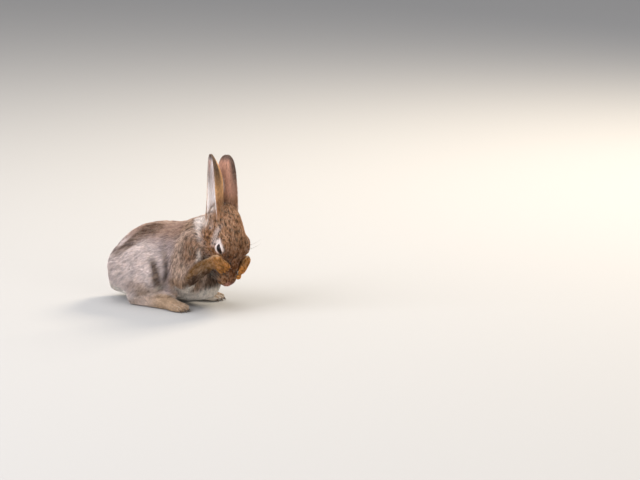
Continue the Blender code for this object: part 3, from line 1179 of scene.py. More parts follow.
    def close_lids(self) -> None:
        """Drapes the skin over each eyeball and opens the almond between the lids."""
        points = coordinates(self.mesh)
        local = self.skull.inward(points)
        for side in Side:
            offset = local - self.skull.eye(side)
            outer = offset[:, 1] * side.value > 0
            spread = np.hypot(offset[:, 0], offset[:, 2])
            near = outer & (spread < self.lids.reach)
            along, up = offset[near, 0], offset[near, 2]
            gap = self.lids.gap(along, up)
            reach = np.linalg.norm(offset[near], axis=1)
            draped = np.maximum(reach, self.skull.eye_radius + self.lids.drape)
            draped = reach + (draped - reach) * ease(spread[near], self.lids.reach, self.lids.hug)
            sunk = self.skull.eye_radius - self.lids.sunk
            new = sunk + (draped - sunk) * ease(gap, *self.lids.lip)
            offset[near] *= (new / reach)[:, None]
            local[near] = offset[near] + self.skull.eye(side)
        place_points(self.mesh, self.skull.outward(local))

    def paint(self, markings: "Markings") -> None:
        """Lays the coat's markings on the skin.

        Args:
            markings: the coat's colours.
        """
        colours = markings.colours(coordinates(self.mesh), point_normals(self.mesh), self.shares)
        lay_markings(self.mesh, colours)
        self.mesh.shade_smooth()


# ---- Markings ----


def over(base: Array, colour: Array, share: Array) -> Array:
    """Lays a colour over another.

    Args:
        base: the colours beneath.
        colour: the colour to lay.
        share: how much of it shows at each place.

    Returns:
        One colour for each place.
    """
    return base + (colour - base) * np.clip(share, 0, 1)[:, None]


@dataclass
class Spots:
    """Places on the skin, and the colours that the coat takes there as one is laid over another.

    local are the places in the head's axes, and shares say how much each belongs to each named part.
    """

    points: Array
    normals: Array
    local: Array
    shares: Array
    surface: Surface
    colour: Array

    def part(self, *starts: str) -> Array:
        """How much each place belongs to the parts whose names start with any of the given words."""
        return self.surface.column(self.shares, *starts)

    def lay(self, *layers: tuple[Array, Array]) -> None:
        """Lays colours over the coat, each given with its share at each place."""
        for colour, share in layers:
            self.colour = over(self.colour, colour, share)

    def shade(self, factor: Array) -> None:
        """Makes the coat lighter or darker by a factor at each place."""
        self.colour = self.colour * factor[:, None]


class Markings:
    """The coat's colours as a rule over the whole body, read by the skin and by every lock alike."""

    BACK = linear("#a38473")
    SPINE = linear("#41291c")
    CREST = linear("#a98c78")
    FLANK = linear("#c4b4b3")
    HAUNCH = linear("#e4d4cf")
    SHOULDER = linear("#ac8d74")
    SHOULDER_FRONT = linear("#8b6549")
    ARM = linear("#cbb09e")
    NAPE = linear("#f6eae1")
    CHEEK = linear("#966438")
    FOREHEAD = linear("#a97b56")
    BRIDGE = linear("#743f08")
    EYE_RING = linear("#f5eae6")
    NOSE = linear("#97604f")
    CHIN = linear("#b87a52")
    WHITE = linear("#f4ece2")
    PAW = linear("#c8822e")
    PAW_BACK = linear("#a87436")
    PAW_INNER = linear("#dcc09c")
    FOREARM = linear("#795429")
    HIND_FOOT = linear("#bb9f83")
    TAIL_TOP = linear("#554034")
    # The ears' backs: fur colour warmed with painted glow of light shining through each ear, orange on the
    # near ear and pinker on the far one.
    EAR_BACK = linear("#e6b27c")
    EAR_BACK_FAR = linear("#b58670")
    EAR_BASE = linear("#9b6e49")
    # The hollows' naked skin: pale, pushed near white as painted glow of light through the ear.
    EAR_INNER = linear("#fff8f5")
    EAR_FLUSH = linear("#d8b0a2")
    EAR_RIM = linear("#38271e")
    # Painted shade in the crease between shoulder and flank, over the dark underfur that shows where the coat
    # parts there.
    VALLEY = linear("#3a2818")
    STREAK = linear("#452c19")
    # Painted shade: a dark brown laid where shade falls, on the chest between the forelegs and under the
    # forearms.
    HOLLOW = linear("#4a3426")
    LID = linear("#231812")
    BUFF = linear("#856c5a")
    ELBOW = linear("#97765a")
    # Each ear's back, and how flushed its hollow is: these differ between the ears as painted glow of light
    # through them, the near right ear's back orange and the far left ear pinker.
    EAR_TINTS = {Side.RIGHT: (EAR_BACK, 0.04), Side.LEFT: (EAR_BACK_FAR, 0.3)}

    def __init__(self, surface: Surface, skull: Skull, lids: Lids) -> None:
        """Keeps what the rule reads.

        Args:
            surface: the named parts of the body.
            skull: the head's axes.
            lids: the almond between the lids.
        """
        self.surface = surface
        self.skull = skull
        self.lids = lids
        self.wrists = [toes.heel for toes in forepaws(skull)]
        self.patches = Grain(3)
        self.streaks = Grain(4)

    def colours(self, points: Array, normals: Array, shares: Array) -> Array:
        """The coat's colour, before the banding of its hairs.

        Args:
            points: places on the skin.
            normals: the skin's normals there.
            shares: how much each place belongs to each named part.

        Returns:
            Linear red, green and blue, one row for each place.
        """
        base = np.tile(self.FLANK, (len(points), 1))
        spots = Spots(points, normals, self.skull.inward(points), shares, self.surface, base)
        for lay in (self.trunk, self.tail, self.legs, self.head, self.ears, self.flecked):
            lay(spots)
        return spots.colour

    def trunk(self, spots: Spots) -> None:
        """Lays the brown back, the pale haunches and nape, the shoulders' browner tones, painted shade on the
        chest between the forelegs, and the white underside.

        Args:
            spots: the places.
        """
        x, y, z = spots.points.T
        part = spots.part
        body = part("abdomen", "rump", "thigh", "chest", "upper_arm", "neck", "lower_leg")
        shoulder, breast = part("chest", "upper_arm"), part("chest", "abdomen")
        upward = ease(spots.normals[:, 2], 0.1, 0.85)
        out = np.abs(y)
        front = ease(x, 22, 32) * ease(z, 42, 56) * ease(z, 82, 70)
        edge = np.exp(-(((x - 42.5) / 2.0) ** 2)) * ease(z, 44, 52) * ease(z, 68, 60)
        spots.lay(
            (self.HAUNCH, part("thigh", "rump")),
            (self.BACK, ease(out, 33, 16) * ease(z, 52, 76) * body),
            (self.SHOULDER, part("chest") * ease(x, 4, 26)),
            (self.ARM, part("upper_arm")),
            (self.SHOULDER_FRONT, 0.9 * front * shoulder),
            (self.NAPE, part("neck") * (0.6 + 0.4 * upward)),
            (self.NAPE, 0.8 * edge * shoulder),
        )
        self.bands(spots)
        combed = self.combed(spots.points)
        streak = self.streaks.at(combed, (15.0, 2.6, 2.6))
        streak += 0.7 * self.streaks.at(combed + 50, (8.0, 1.5, 1.5))
        spots.shade(1 + 0.15 * body * streak + 0.04 * self.patches.at(spots.points, 12.0))
        under = np.maximum(ease(spots.normals[:, 2], -0.35, -0.8), ease(z, 17, 8)) * body
        # The chest between the forelegs is darkened with painted shade.
        hollow = ease(x, 22, 29) * ease(z, 17, 26) * ease(z, 62, 50) * breast
        spots.lay(
            (self.WHITE, under * ease(out, 40, 30)),
            (self.HOLLOW, 0.9 * hollow),
            (self.WHITE, ease(x, 20, 32) * ease(z, 26, 19) * breast),
        )

    def bands(self, spots: Spots) -> None:
        """Lays a paler crest and a dark crescent on either side of the back, painted shade over dark underfur
        in the crease between shoulder and flank, and a darker, browner tone low before the haunch and at the
        elbow.

        Args:
            spots: the places.
        """
        x, y, z = spots.points.T
        out = np.abs(y)
        wander = 1.2 * self.patches.at(spots.points, (14.0, 9.0, 9.0))
        crest_line = np.interp(x, (-49, -41, -34, -25, -17), (50.7, 61.6, 68.7, 75.4, 78.9))
        above = z - crest_line + wander
        lowest = np.interp(x, (-49, -36), (-6.5, -10.5))
        band = ease(above - lowest, 0, 6) * ease(above, 10, 4) * ease(out, 4, 9)
        band *= ease(x, -4, -18) * ease(z, 42, 58)
        band *= 0.85 + 0.45 * self.streaks.at(self.combed(spots.points) + 90, (8.0, 2.0, 2.0))
        band *= spots.part("abdomen", "rump", "thigh", "chest")
        # The crease between shoulder and flank is darkened, more on the right side: painted shade in it, over
        # dark underfur where the coat parts.
        fold = np.interp(z, (24, 31, 39, 51, 65), (4.0, 4.8, 7.3, 5.0, 1.1)) + 0.6 * wander
        valley_shade = np.exp(-(((x - fold) / 2.9) ** 2)) * ease(z, 20, 32) * ease(z, 78, 42)
        run = np.interp(z, (26, 34, 40, 46), (-2.6, -3.8, -5.2, -8.0)) + 0.6 * wander
        streak = 1.5 * np.exp(-(((x - run) / 3.8) ** 2)) * ease(z, 12, 30) * ease(z, 56, 41)
        clear = np.where(y < 0, 0.95, 0.6) * ease(out, 22, 28)
        low = ease(x, -46, -32) * ease(x, -8, -20) * ease(z, 32, 20)
        elbow = ease(x, 5, 12) * ease(z, 38, 29) * ease(z, 8, 15)
        elbow *= ease(out, 16, 22)
        spots.lay(
            (self.CREST, 0.65 * (ease(out, 10, 4) * ease(z, 60, 70))),
            (self.SHOULDER_FRONT, 0.7 * band),
            (self.SPINE, 0.75 * band),
            (self.VALLEY, 0.9 * valley_shade * ease(out, 20, 27)),
            (self.STREAK, clear * np.minimum(streak, 1)),
            (self.ELBOW, 0.55 * low),
            (self.ELBOW, 0.85 * elbow),
        )

    def flecked(self, spots: Spots) -> None:
        """Flecks the coat dark and buff, most on the face and the shoulders, as the tips of a wild coat are.

        Args:
            spots: the places.
        """
        part, local, colour = spots.part, spots.local, spots.colour
        fine = self.patches.at(local, (1.5, 0.8, 0.8)) + 0.5 * self.streaks.at(local + 20, (2.4, 1.4, 1.4))
        amount = part("head", "chest") + 0.9 * part("upper_arm") + 0.4 * part("neck", "forearm")
        amount += 0.2 * part("abdomen", "rump", "thigh")
        amount += 0.75 * part("forepaw") + 0.3 * part("hind_foot", "ear")
        amount *= ease(colour.mean(1), 0.75, 0.5)
        dark = ease(fine, -0.05, 0.6) * amount
        buff = np.minimum(colour * 0.8 + self.BUFF, 0.96)
        spots.lay((buff, 0.75 * ease(fine, 0, -0.6) * amount))
        spots.shade(1 - 0.8 * dark)

    def combed(self, points: Array) -> Array:
        """Turns places so that the first axis runs along the fur of the flanks.

        Args:
            points: places in the rabbit's frame.

        Returns:
            The turned places.
        """
        lean = math.radians(33)
        turn = [[math.cos(lean), 0, math.sin(lean)], [0, 1, 0], [-math.sin(lean), 0, math.cos(lean)]]
        return points @ np.array(turn).T

    def tail(self, spots: Spots) -> None:
        """Colours the tail white below, which faces backwards as it is raised, and dark towards the rump.

        Args:
            spots: the places.
        """
        share = spots.part("tail")
        top = ease(spots.normals[:, 0], -0.1, 0.5)
        spots.lay((self.WHITE, share), (self.TAIL_TOP, share * top))

    def legs(self, spots: Spots) -> None:
        """Lays brown forearms with painted shade beneath them, rusty paws with paler palms, a paler top to
        each wrist that is pale hair with a painted highlight, and buff hind feet.

        Args:
            spots: the places.
        """
        x, y, z = spots.points.T
        part, upward = spots.part, spots.normals[:, 2]
        forearm, forepaw, foot = part("forearm"), part("forepaw"), part("hind_foot")
        inner = ease(spots.normals[:, 1] * np.sign(y), -0.1, -0.7)
        # The forearms' downward-facing undersides are darkened with painted shade.
        shaded_underside = ease(upward, 0.0, -0.5) * ease(z, 52, 40)
        spots.lay(
            (self.FOREARM, forearm),
            (self.HOLLOW, 0.9 * shaded_underside * forearm),
            (self.PAW_INNER, 0.5 * inner * forearm * (1 - shaded_underside)),
            (self.PAW, forepaw),
        )
        # The top of each wrist, where it faces up, takes pale cream: pale hair with a painted highlight.
        crest = ease(upward, 0.55, 0.95) * part("forearm", "forepaw")
        for wrist in self.wrists:
            away = np.linalg.norm(spots.points - wrist, axis=1)
            spots.lay(
                (self.PAW_BACK, 0.7 * ease(away, 15, 5) * forearm),
                (self.PAW_BACK, 0.7 * ease(away, 17, 6) * forepaw),
                (self.PAW_INNER, 0.6 * ease(away, 17, 7) * crest),
            )
        low = ease(z, 27, 13) * part("lower_leg", "thigh") * ease(x, -32, -20)
        spots.lay(
            (self.HAUNCH, 0.5 * part("lower_leg")),
            (self.HIND_FOOT, np.maximum(foot, 0.7 * low)),
            (self.HAUNCH, 0.6 * (ease(x, 4, -22) * foot)),
            (self.WHITE, inner * foot * 0.9),
        )

    def head(self, spots: Spots) -> None:
        """Lays brown cheeks and forehead, a darker bridge, a pale ring round each eye, and painted shade in
        the nose and lip grooves.

        Args:
            spots: the places.
        """
        local, share = spots.local, spots.part("head")
        along, side, up = local.T
        nape = ease(along, 12, 2) * ease(up, 1, -7)
        nape = np.maximum(nape, ease(along, 26, 15) * ease(up, -6, -11))
        throat = ease(up, -13, -19) * ease(along, 62, 40)
        nose = ease(along, 75.5, 79.0) * ease(np.abs(side), 6.8, 4.4) * ease(up, -8, -4)
        spots.lay(
            (self.CHEEK, share),
            (self.FOREHEAD, share * ease(up, 2, 13)),
            (self.BRIDGE, share * ease(along, 32, 56) * ease(up, -4, 8)),
            (self.NAPE, 0.9 * share * nape),
            (self.CHIN, share * ease(up, -6, -12) * ease(along, 44, 60)),
            (self.WHITE, 0.8 * share * throat),
            (self.NOSE, share * nose),
        )
        for eye in Side:
            self.eye(spots, eye)
        # The nose and lip grooves are darkened with painted shade.
        for groove in FACE_GROOVES:
            spots.shade(1 - 0.7 * groove.near(local) * share)
        for notch in EAR_NOTCHES:
            spots.lay((self.EAR_INNER, 0.85 * share * notch.near(local)))

    def eye(self, spots: Spots, side: Side) -> None:
        """Lays the pale ring round an eye and the pale streak behind it, and the dark lids and tear duct.

        Args:
            spots: the places.
            side: which eye it is.
        """
        share, away = spots.part("head"), spots.local - self.skull.eye(side)
        ahead, up = away[:, 0], away[:, 2]
        near = ease(away[:, 1] * side.value, -3, 1)
        ring = np.hypot((ahead + 2.2) / 1.6, up - 1.9 - 0.2 * ahead)
        pale = ease(ring, 6.4, 4.2) * near * ease(ahead, 6, 0.5)
        tear = np.hypot((ahead - 6.6) / 1.9, (up - 2.6) / 0.9)
        line = ease(np.abs(up + 3.0 + 0.30 * (ahead + 16)), 4.6, 0.8)
        streak = line * ease(ahead, -27, -18) * ease(ahead, 0, -6) * near
        gap = self.lids.gap(ahead, up)
        spots.lay(
            (self.EYE_RING, 0.85 * share * pale),
            (self.LID, 0.85 * share * near * ease(tear, 1.3, 0.5)),
            (self.EYE_RING, 0.55 * share * streak),
            (self.LID, share * near * ease(gap, 0.55, 0.2)),
        )

    def ears(self, spots: Spots) -> None:
        """Lays brown backs and pale naked hollows, both tinted with painted glow of light through each ear,
        and a dark edge round each tip.

        Args:
            spots: the places.
        """
        facing = spots.normals @ self.skull.axes
        for ear in EARS:
            share = spots.part(f"ear_{ear.side.word}")
            rise, away = ear.where(spots.local)
            # Each ear's back and the flush of its hollow carry the painted glow of light through that ear.
            back, flush = self.EAR_TINTS[ear.side]
            vein = self.streaks.at(np.stack([rise * 30, away[:, 1], away[:, 2]], 1), (11.0, 1.7, 1.7))
            flushed = flush + 0.6 * vein + 0.4 * ease(rise, 0.6, 0.95)
            inner = over(self.EAR_INNER, self.EAR_FLUSH, flushed)
            hollow = ease(-(facing * unit(away)).sum(1), -0.1, 0.35)
            gap = catmull_rom(ear.half_gaps, rise) * ear.narrowing(rise, 0.02)
            edge = ease(np.abs(away[:, 2]) / np.maximum(gap, 1.0), 0.72, 1.0)
            edge = np.maximum(edge * ease(rise, 0.3, 0.8), ease(rise, 0.88, 0.99))
            spots.lay(
                (back, share),
                (self.EAR_BASE, share * ease(rise, 0.46, 0.24)),
                (self.FOREHEAD, share * ease(rise, 0.2, 0.0)),
                (inner, share * hollow * (0.35 + 0.65 * ease(rise, 0.02, 0.22))),
                (self.EAR_RIM, 0.9 * share * edge),
            )


# ---- Coat ----


@dataclass(frozen=True)
class Unwrap:
    """A roll-out of one stretch of skin round its own axis, on which the coat's bake map lies.

    A hollow stretch, such as an ear, has its inside and its outside on two halves of the map.
    """

    origin: Array
    axis: Array
    middle: Array
    hollow: bool = False

    def places(self, points: Array, normals: Array) -> Array:
        """Finds where points of the skin lie on the map.

        Args:
            points: places on the skin.
            normals: the skin's normals there.

        Returns:
            Two numbers from 0 to 1 for each place.
        """
        offset = points - self.origin
        axis = unit(self.axis)
        middle = unit(self.middle - axis * (self.middle @ axis))
        third = np.cross(axis, middle)
        turn = np.arctan2(offset @ third, offset @ middle) / (2 * math.pi) + 0.5
        if self.hollow:
            turn = turn / 2 + 0.5 * ((offset * normals).sum(1) < 0)
        flat = np.stack([offset @ axis, turn], axis=1)
        return 0.01 + 0.98 * (flat - flat.min(0)) / np.maximum(np.ptp(flat, axis=0), 1e-6)


@dataclass(frozen=True)
class Patch:
    """One piece of the coat: which named parts it covers, how its map is unrolled, and its slot.

    Where halved gives a side, the piece is that half of a part that lies across the middle of the body.
    """

    name: str
    parts: tuple[str, ...]
    unwrap: Unwrap
    rings: int
    slot: str
    halved: Side | None = None


@dataclass
class Locks:
    """Roots of many locks of hair and what each is like, one row or number for each lock."""

    root: Array
    normal: Array
    flow: Array
    length: Array
    width: Array
    depth: Array
    ticking: Array
    part: Array
    clump: Array

    def pick(self, kept: Array) -> "Locks":
        """Only the locks that are kept."""
        return Locks(**{name: value[kept] for name, value in vars(self).items()})

    def __len__(self) -> int:
        """How many locks there are."""
        return len(self.root)


class Coat:
    """The rabbit's fur, as thin closed locks that lie along the body and overlap.

    One hair is too fine to show, so each lock stands for some twenty of them.
    """

    BUFF_TIP = linear("#dcc3aa")
    DARK_BELOW, BUFF_ABOVE = 0.34, 0.64  # draws for which a lock's tip is dark, or buff
    CLEARANCE = 0.06  # how far above the floor hair stays at least
    RAISE = (0.0, 0.75, 1.0, 0.95)  # how high each ring of a lock stands, as a share of the coat's depth
    CLUMP = 3.2  # how far apart the middles of clumps lie
    GATHER = 0.42  # how much the tips of a clump's locks draw together
    SWELL = 6.5  # how wide the swells are in which neighbouring locks sway alike
    SUNK = 0.35  # how far a root sits under the skin
    BARE_LIP = 0.3  # hairless margin along the lids

    def __init__(self, skin: Skin, markings: Markings) -> None:
        """Reads off the skin where and how hair grows.

        Args:
            skin: the finished skin.
            markings: the coat's colours.
        """
        self.skin = skin
        self.skull = skin.skull
        self.markings = markings
        self.chance = np.random.default_rng(11)
        self.points = coordinates(skin.mesh)
        self.normals = point_normals(skin.mesh)
        bpy.context.view_layer.update()
        self.tree = BVHTree.FromObject(skin.object, bpy.context.evaluated_depsgraph_get())
        self.corner = np.array([polygon.vertices[0] for polygon in skin.mesh.polygons])
        self.fields: dict[str, Array] = {}
        self.read_fields()
        self.locks = self.seed()
        log.info("coat: %d locks", len(self.locks))

    def lie(self) -> Array:
        """Combs the skin.

        Returns:
            The way the hair points at each point.
        """
        surface, shares = self.skin.surface, self.skin.shares
        axes = self.skull.axes
        table = np.array([surface.pelt(name).lie for name in surface.names])
        table[:, 1] *= [-1 if name.endswith("_right") else 1 for name in surface.names]
        for index, name in enumerate(surface.names):
            if name.startswith(("head", "ear")):
                table[index] = -axes[:, 0]
        outward_y = np.sign(self.points[:, 1]) * ease(np.abs(self.points[:, 1]), 0, 12)
        flow = shares @ table
        trunk = surface.column(shares, "abdomen", "rump", "chest")
        flow[:, 1] += 0.10 * trunk * outward_y
        local = self.skull.inward(self.points)
        head = surface.column(shares, "head")
        sideways, down = 0.018 * local[:, 1], -0.3 * ease(local[:, 2], 10, -14)
        spread = np.stack([np.zeros(len(local)), sideways, down], 1)
        flow += head[:, None] * (spread @ axes.T)
        flow = along_surface(flow, self.normals)
        for _ in range(3):
            flow = along_surface(self.skin.weave.evened(flow, 4), self.normals)
        return flow

    def change(self, share: Array, **changes: float) -> None:
        """Changes fields of the coat in some places.

        Args:
            share: how much each point is changed.
            **changes: what is added to each field where the share is 1, as a share of the field.
        """
        for key, amount in changes.items():
            self.fields[key] *= 1 + amount * share

    def read_fields(self) -> None:
        """Works out the coat's length, width, depth, density, ticking and lie at each point of the skin."""
        surface, shares = self.skin.surface, self.skin.shares
        for key in ("length", "width", "depth", "density", "ticking"):
            self.fields[key] = surface.measured(shares, key)
        local = self.skull.inward(self.points)
        head = surface.column(shares, "head")
        muzzle = head * ease(local[:, 0], 30, 72)
        self.change(muzzle, length=-0.35, depth=-0.35, width=-0.15, density=0.25)
        for side in Side:
            offset = local - self.skull.eye(side)
            near = offset[:, 1] * side.value > 0
            gap = np.where(near, self.skin.lids.gap(offset[:, 0], offset[:, 2]), np.inf)
            self.fields["density"] = np.where(gap < self.BARE_LIP, 0, self.fields["density"])
            self.change(ease(gap, 6, self.BARE_LIP), length=-0.6, depth=-0.7, width=-0.25, density=0.7)
        nose = head * ease(local[:, 0], 78.0, 81.5) * ease(np.abs(local[:, 1]), 5.4, 3.6)
        self.change(nose, density=-0.8, depth=-0.7)
        inside, fringe = self.ear_fields(local)
        self.change(inside, density=-0.45, ticking=-1.0)
        self.change(fringe, length=1.2, depth=2.0)
        self.change(surface.column(shares, "hind_foot") * (self.normals[:, 2] < -0.8), density=-0.5)
        for toes in self.skin.toes:
            cleft = toes.pressed(self.points) * surface.column(shares, toes.node)
            self.change(cleft, depth=-0.75, length=-0.4)
        for groove in FACE_GROOVES:
            near = groove.near(local) * head
            self.change(near, depth=-0.85)
            self.change(ease(near, 0.3, 0.8), density=-0.9)
        self.fields["flow"] = self.lie()
        self.fields["part"] = np.argmax(shares, axis=1)

    def ear_fields(self, local: Array) -> tuple[Array, Array]:
        """Tells the hollows and the edges of the ears.

        Args:
            local: the skin's points in the head's axes.

        Returns:
            How much each point lies in an ear's hollow, and how much on the fringed edge near its root.
        """
        facing = self.normals @ self.skull.axes
        inside, fringe = np.zeros(len(local)), np.zeros(len(local))
        for ear in EARS:
            share = self.skin.surface.column(self.skin.shares, f"ear_{ear.side.word}")
            rise, away = ear.where(local)
            hollow = ease((facing * unit(away)).sum(1), 0.0, -0.2)
            inside += share * hollow
            half_gap = np.maximum(catmull_rom(ear.half_gaps, rise), 1.0)
            edge = ease(np.abs(away[:, 2]) / half_gap, 0.75, 1.0)
            tuft = (1 - hollow) * ease(rise, 0.4, 0.05)
            fringe += share * np.maximum(edge * ease(rise, 0.8, 0.2), tuft)
        return inside, fringe

    def seed(self) -> Locks:
        """Scatters the roots evenly over the skin, as densely as each part asks.

        Returns:
            The locks.
        """
        mesh = self.skin.mesh
        mesh.calc_loop_triangles()
        corners = gathered(mesh.loop_triangles, "vertices", 3, np.int32)
        a, b, c = (self.points[corners[:, i]] for i in range(3))
        area = np.linalg.norm(np.cross(b - a, c - a), axis=1) / 2
        density = self.fields["density"][corners]
        wanted = area * density.mean(1) * (density.min(1) > 0)
        total = np.cumsum(wanted)
        count = int(total[-1])
        steps = (np.arange(count) + self.chance.uniform(0, 1, count)) * total[-1] / count
        hit = np.minimum(np.searchsorted(total, steps), len(corners) - 1)
        r1, r2 = np.sqrt(self.chance.uniform(size=count)), self.chance.uniform(size=count)
        weights = np.stack([1 - r1, r1 * (1 - r2), r1 * r2], axis=1)

        def blend(values: Array) -> Array:
            """Reads a field at the roots."""
            chosen = values[corners[hit]]
            return (chosen * weights.reshape(weights.shape + (1,) * (chosen.ndim - 2))).sum(1)

        normal, root = unit(blend(self.normals)), blend(self.points)
        return Locks(
            root=root,
            normal=normal,
            flow=along_surface(blend(self.fields["flow"]), normal),
            part=self.fields["part"][corners[hit, weights.argmax(1)]],
            clump=self.clumps(root),
            **{key: blend(self.fields[key]) for key in ("length", "width", "depth", "ticking")},
        )

    def clumps(self, roots: Array) -> Array:
        """Gathers locks into small clumps.

        Args:
            roots: where the locks grow.

        Returns:
            For each lock, the index of the lock in the middle of its clump.
        """
        keys = cell_keys(np.floor(roots / self.CLUMP).astype(np.int64))
        order = self.chance.permutation(len(roots))
        _, first = np.unique(keys[order], return_index=True)
        middles = order[first]
        tree = KDTree(len(middles))
        for index, place in zip(middles.tolist(), roots[middles].tolist()):
            tree.insert(place, index)
        tree.balance()
        return np.array([tree.find(place)[1] for place in roots.tolist()])

    def nearest(self, places: Array) -> tuple[Array, Array, Array]:
        """Drops places onto the skin.

        Args:
            places: the places.

        Returns:
            The skin's nearest points, its normals there, and a point of its mesh close to each.
        """
        found = [self.tree.find_nearest(place)[:3] for place in (places * MM).tolist()]
        foot, normal = np.array([f[0] for f in found]) / MM, np.array([f[1] for f in found])
        return foot, normal, self.corner[[f[2] for f in found]]

    def paths(self, locks: Locks, rings: int) -> tuple[Array, Array, Array, Array]:
        """Lays the locks along the skin.

        Args:
            locks: the locks to lay.
            rings: how many rings each has before its tip.

        Returns:
            Ring centres with the tip last, the directions and normals there, and the coat's colour there, as
            count by rings by 3.
        """
        count = len(locks)
        wave = Grain(21)
        sway = np.stack([wave.at(locks.root + shift, self.SWELL) for shift in (0.0, 31.0)], axis=1)
        sideways = np.cross(locks.normal, locks.flow)
        turn = 0.20 * sway[:, 0] + self.chance.normal(0, 0.10, count)
        length = locks.length * self.chance.uniform(0.72, 1.12, count) * (1 + 0.12 * sway[:, 1])
        middle = self.locks.root[locks.clump]
        drawn = np.clip((middle - locks.root) / locks.length[:, None], -0.5, 0.5)
        flow = unit(locks.flow + sideways * turn[:, None] + self.GATHER * drawn)
        flow = along_surface(flow, locks.normal)
        height = locks.depth * self.chance.uniform(0.6, 1.0, count) * (0.9 + 0.1 * sway[:, 1])
        step = (length / rings)[:, None]
        centres = [locks.root - locks.normal * self.SUNK]
        flows, normals = [flow], [locks.normal]
        feet, corners = [locks.root], [self.nearest(locks.root)[2]]
        foot = locks.root
        raise_at = np.interp(np.linspace(0, 1, rings + 1), np.linspace(0, 1, 4), self.RAISE)
        for ring in range(1, rings + 1):
            ahead = foot + flow * step + normals[-1] * 0.3
            foot, normal, corner = self.nearest(ahead)
            normal = unit(0.5 * normal + 0.5 * normals[-1])
            feet.append(foot)
            corners.append(corner)
            flow = along_surface(flow, normal)
            centres.append(foot + normal * (height * raise_at[ring])[:, None])
            flows.append(flow)
            normals.append(normal)
        shares = self.skin.shares[np.concatenate(corners)]
        colours = self.markings.colours(np.concatenate(feet), np.concatenate(normals), shares)
        colours = colours.reshape(rings + 1, count, 3).transpose(1, 0, 2)
        return np.stack(centres, 1), np.stack(flows, 1), np.stack(normals, 1), colours

    def grow(self, patch: Patch, material: Material) -> Object:
        """Builds one piece of the coat as a joined mesh of closed locks.

        Args:
            patch: which piece.
            material: its finish.

        Returns:
            The piece.
        """
        names = self.skin.surface.names
        covered = np.array([name.startswith(patch.parts) for name in names])
        kept = covered[self.locks.part]
        if patch.halved:
            across = self.skull.inward(self.locks.root) if "head" in patch.parts else self.locks.root
            kept &= (across[:, 1] > 0) == (patch.halved is Side.LEFT)
        locks = self.locks.pick(kept)
        piece = self.woven(patch, locks, *self.paths(locks, patch.rings))
        piece.data.materials.append(material)
        return piece

    def woven(
        self, patch: Patch, locks: Locks, centres: Array, flows: Array, normals: Array, colours: Array
    ) -> Object:
        """Turns lock paths into a mesh with markings and a bake map.

        Args:
            patch: which piece of the coat.
            locks: the locks.
            centres: ring centres with the tip last.
            flows: directions there.
            normals: skin normals there.
            colours: the coat's colour there.

        Returns:
            The piece.
        """
        count, rings = len(locks), patch.rings
        profile = np.interp(np.linspace(0, 1, rings + 1)[:-1], (0, 0.45, 1), (0.75, 1.0, 0.35))
        half = locks.width[:, None] * profile[None, :] * self.chance.uniform(0.38, 0.62, (count, 1))
        side = np.cross(normals, flows)[:, :-1] * half[..., None]
        crest = normals[:, :-1] * (half * 0.85)[..., None]
        body = centres[:, :-1]
        ring_points = np.stack([body + side, body - side, body + crest], axis=2)
        points = np.concatenate([ring_points.reshape(count, rings * 3, 3), centres[:, -1:]], axis=1)
        floor = self.CLEARANCE + 0.05 * (np.arange(rings * 3 + 1) % 3 == 2)
        points[..., 2] = np.maximum(points[..., 2], floor)

        # Operators are too slow for this many locks, so the faces of one lock are repeated for all.
        quads, tip = [], rings * 3
        for ring in range(rings - 1):
            low, high = ring * 3, ring * 3 + 3
            for i, j in ((0, 1), (1, 2), (2, 0)):
                quads.append((low + j, low + i, high + i, high + j))
        last = tip - 3
        triangles = [(last + j, last + i, tip) for i, j in ((0, 1), (1, 2), (2, 0))]
        triangles.append((0, 1, 2))
        per_lock = rings * 3 + 1
        start = (np.arange(count) * per_lock)[:, None]
        loops = np.concatenate([np.ravel(quads), np.ravel(triangles)])[None, :] + start
        sizes = np.tile([4] * len(quads) + [3] * len(triangles), count)
        mesh = bpy.data.meshes.new(patch.name)
        mesh.vertices.add(count * per_lock)
        mesh.vertices.foreach_set("co", (points * MM).astype(np.float32).ravel())
        mesh.loops.add(loops.size)
        mesh.loops.foreach_set("vertex_index", loops.astype(np.int32).ravel())
        mesh.polygons.add(len(sizes))
        mesh.polygons.foreach_set("loop_start", np.concatenate([[0], np.cumsum(sizes)[:-1]]).astype(np.int32))
        mesh.polygons.foreach_set("use_smooth", np.ones(len(sizes), bool))
        mesh.update(calc_edges=True)

        self.paint(mesh, locks, colours)
        self.lay_map(mesh, patch, locks, loops)
        return link(patch.name, mesh)

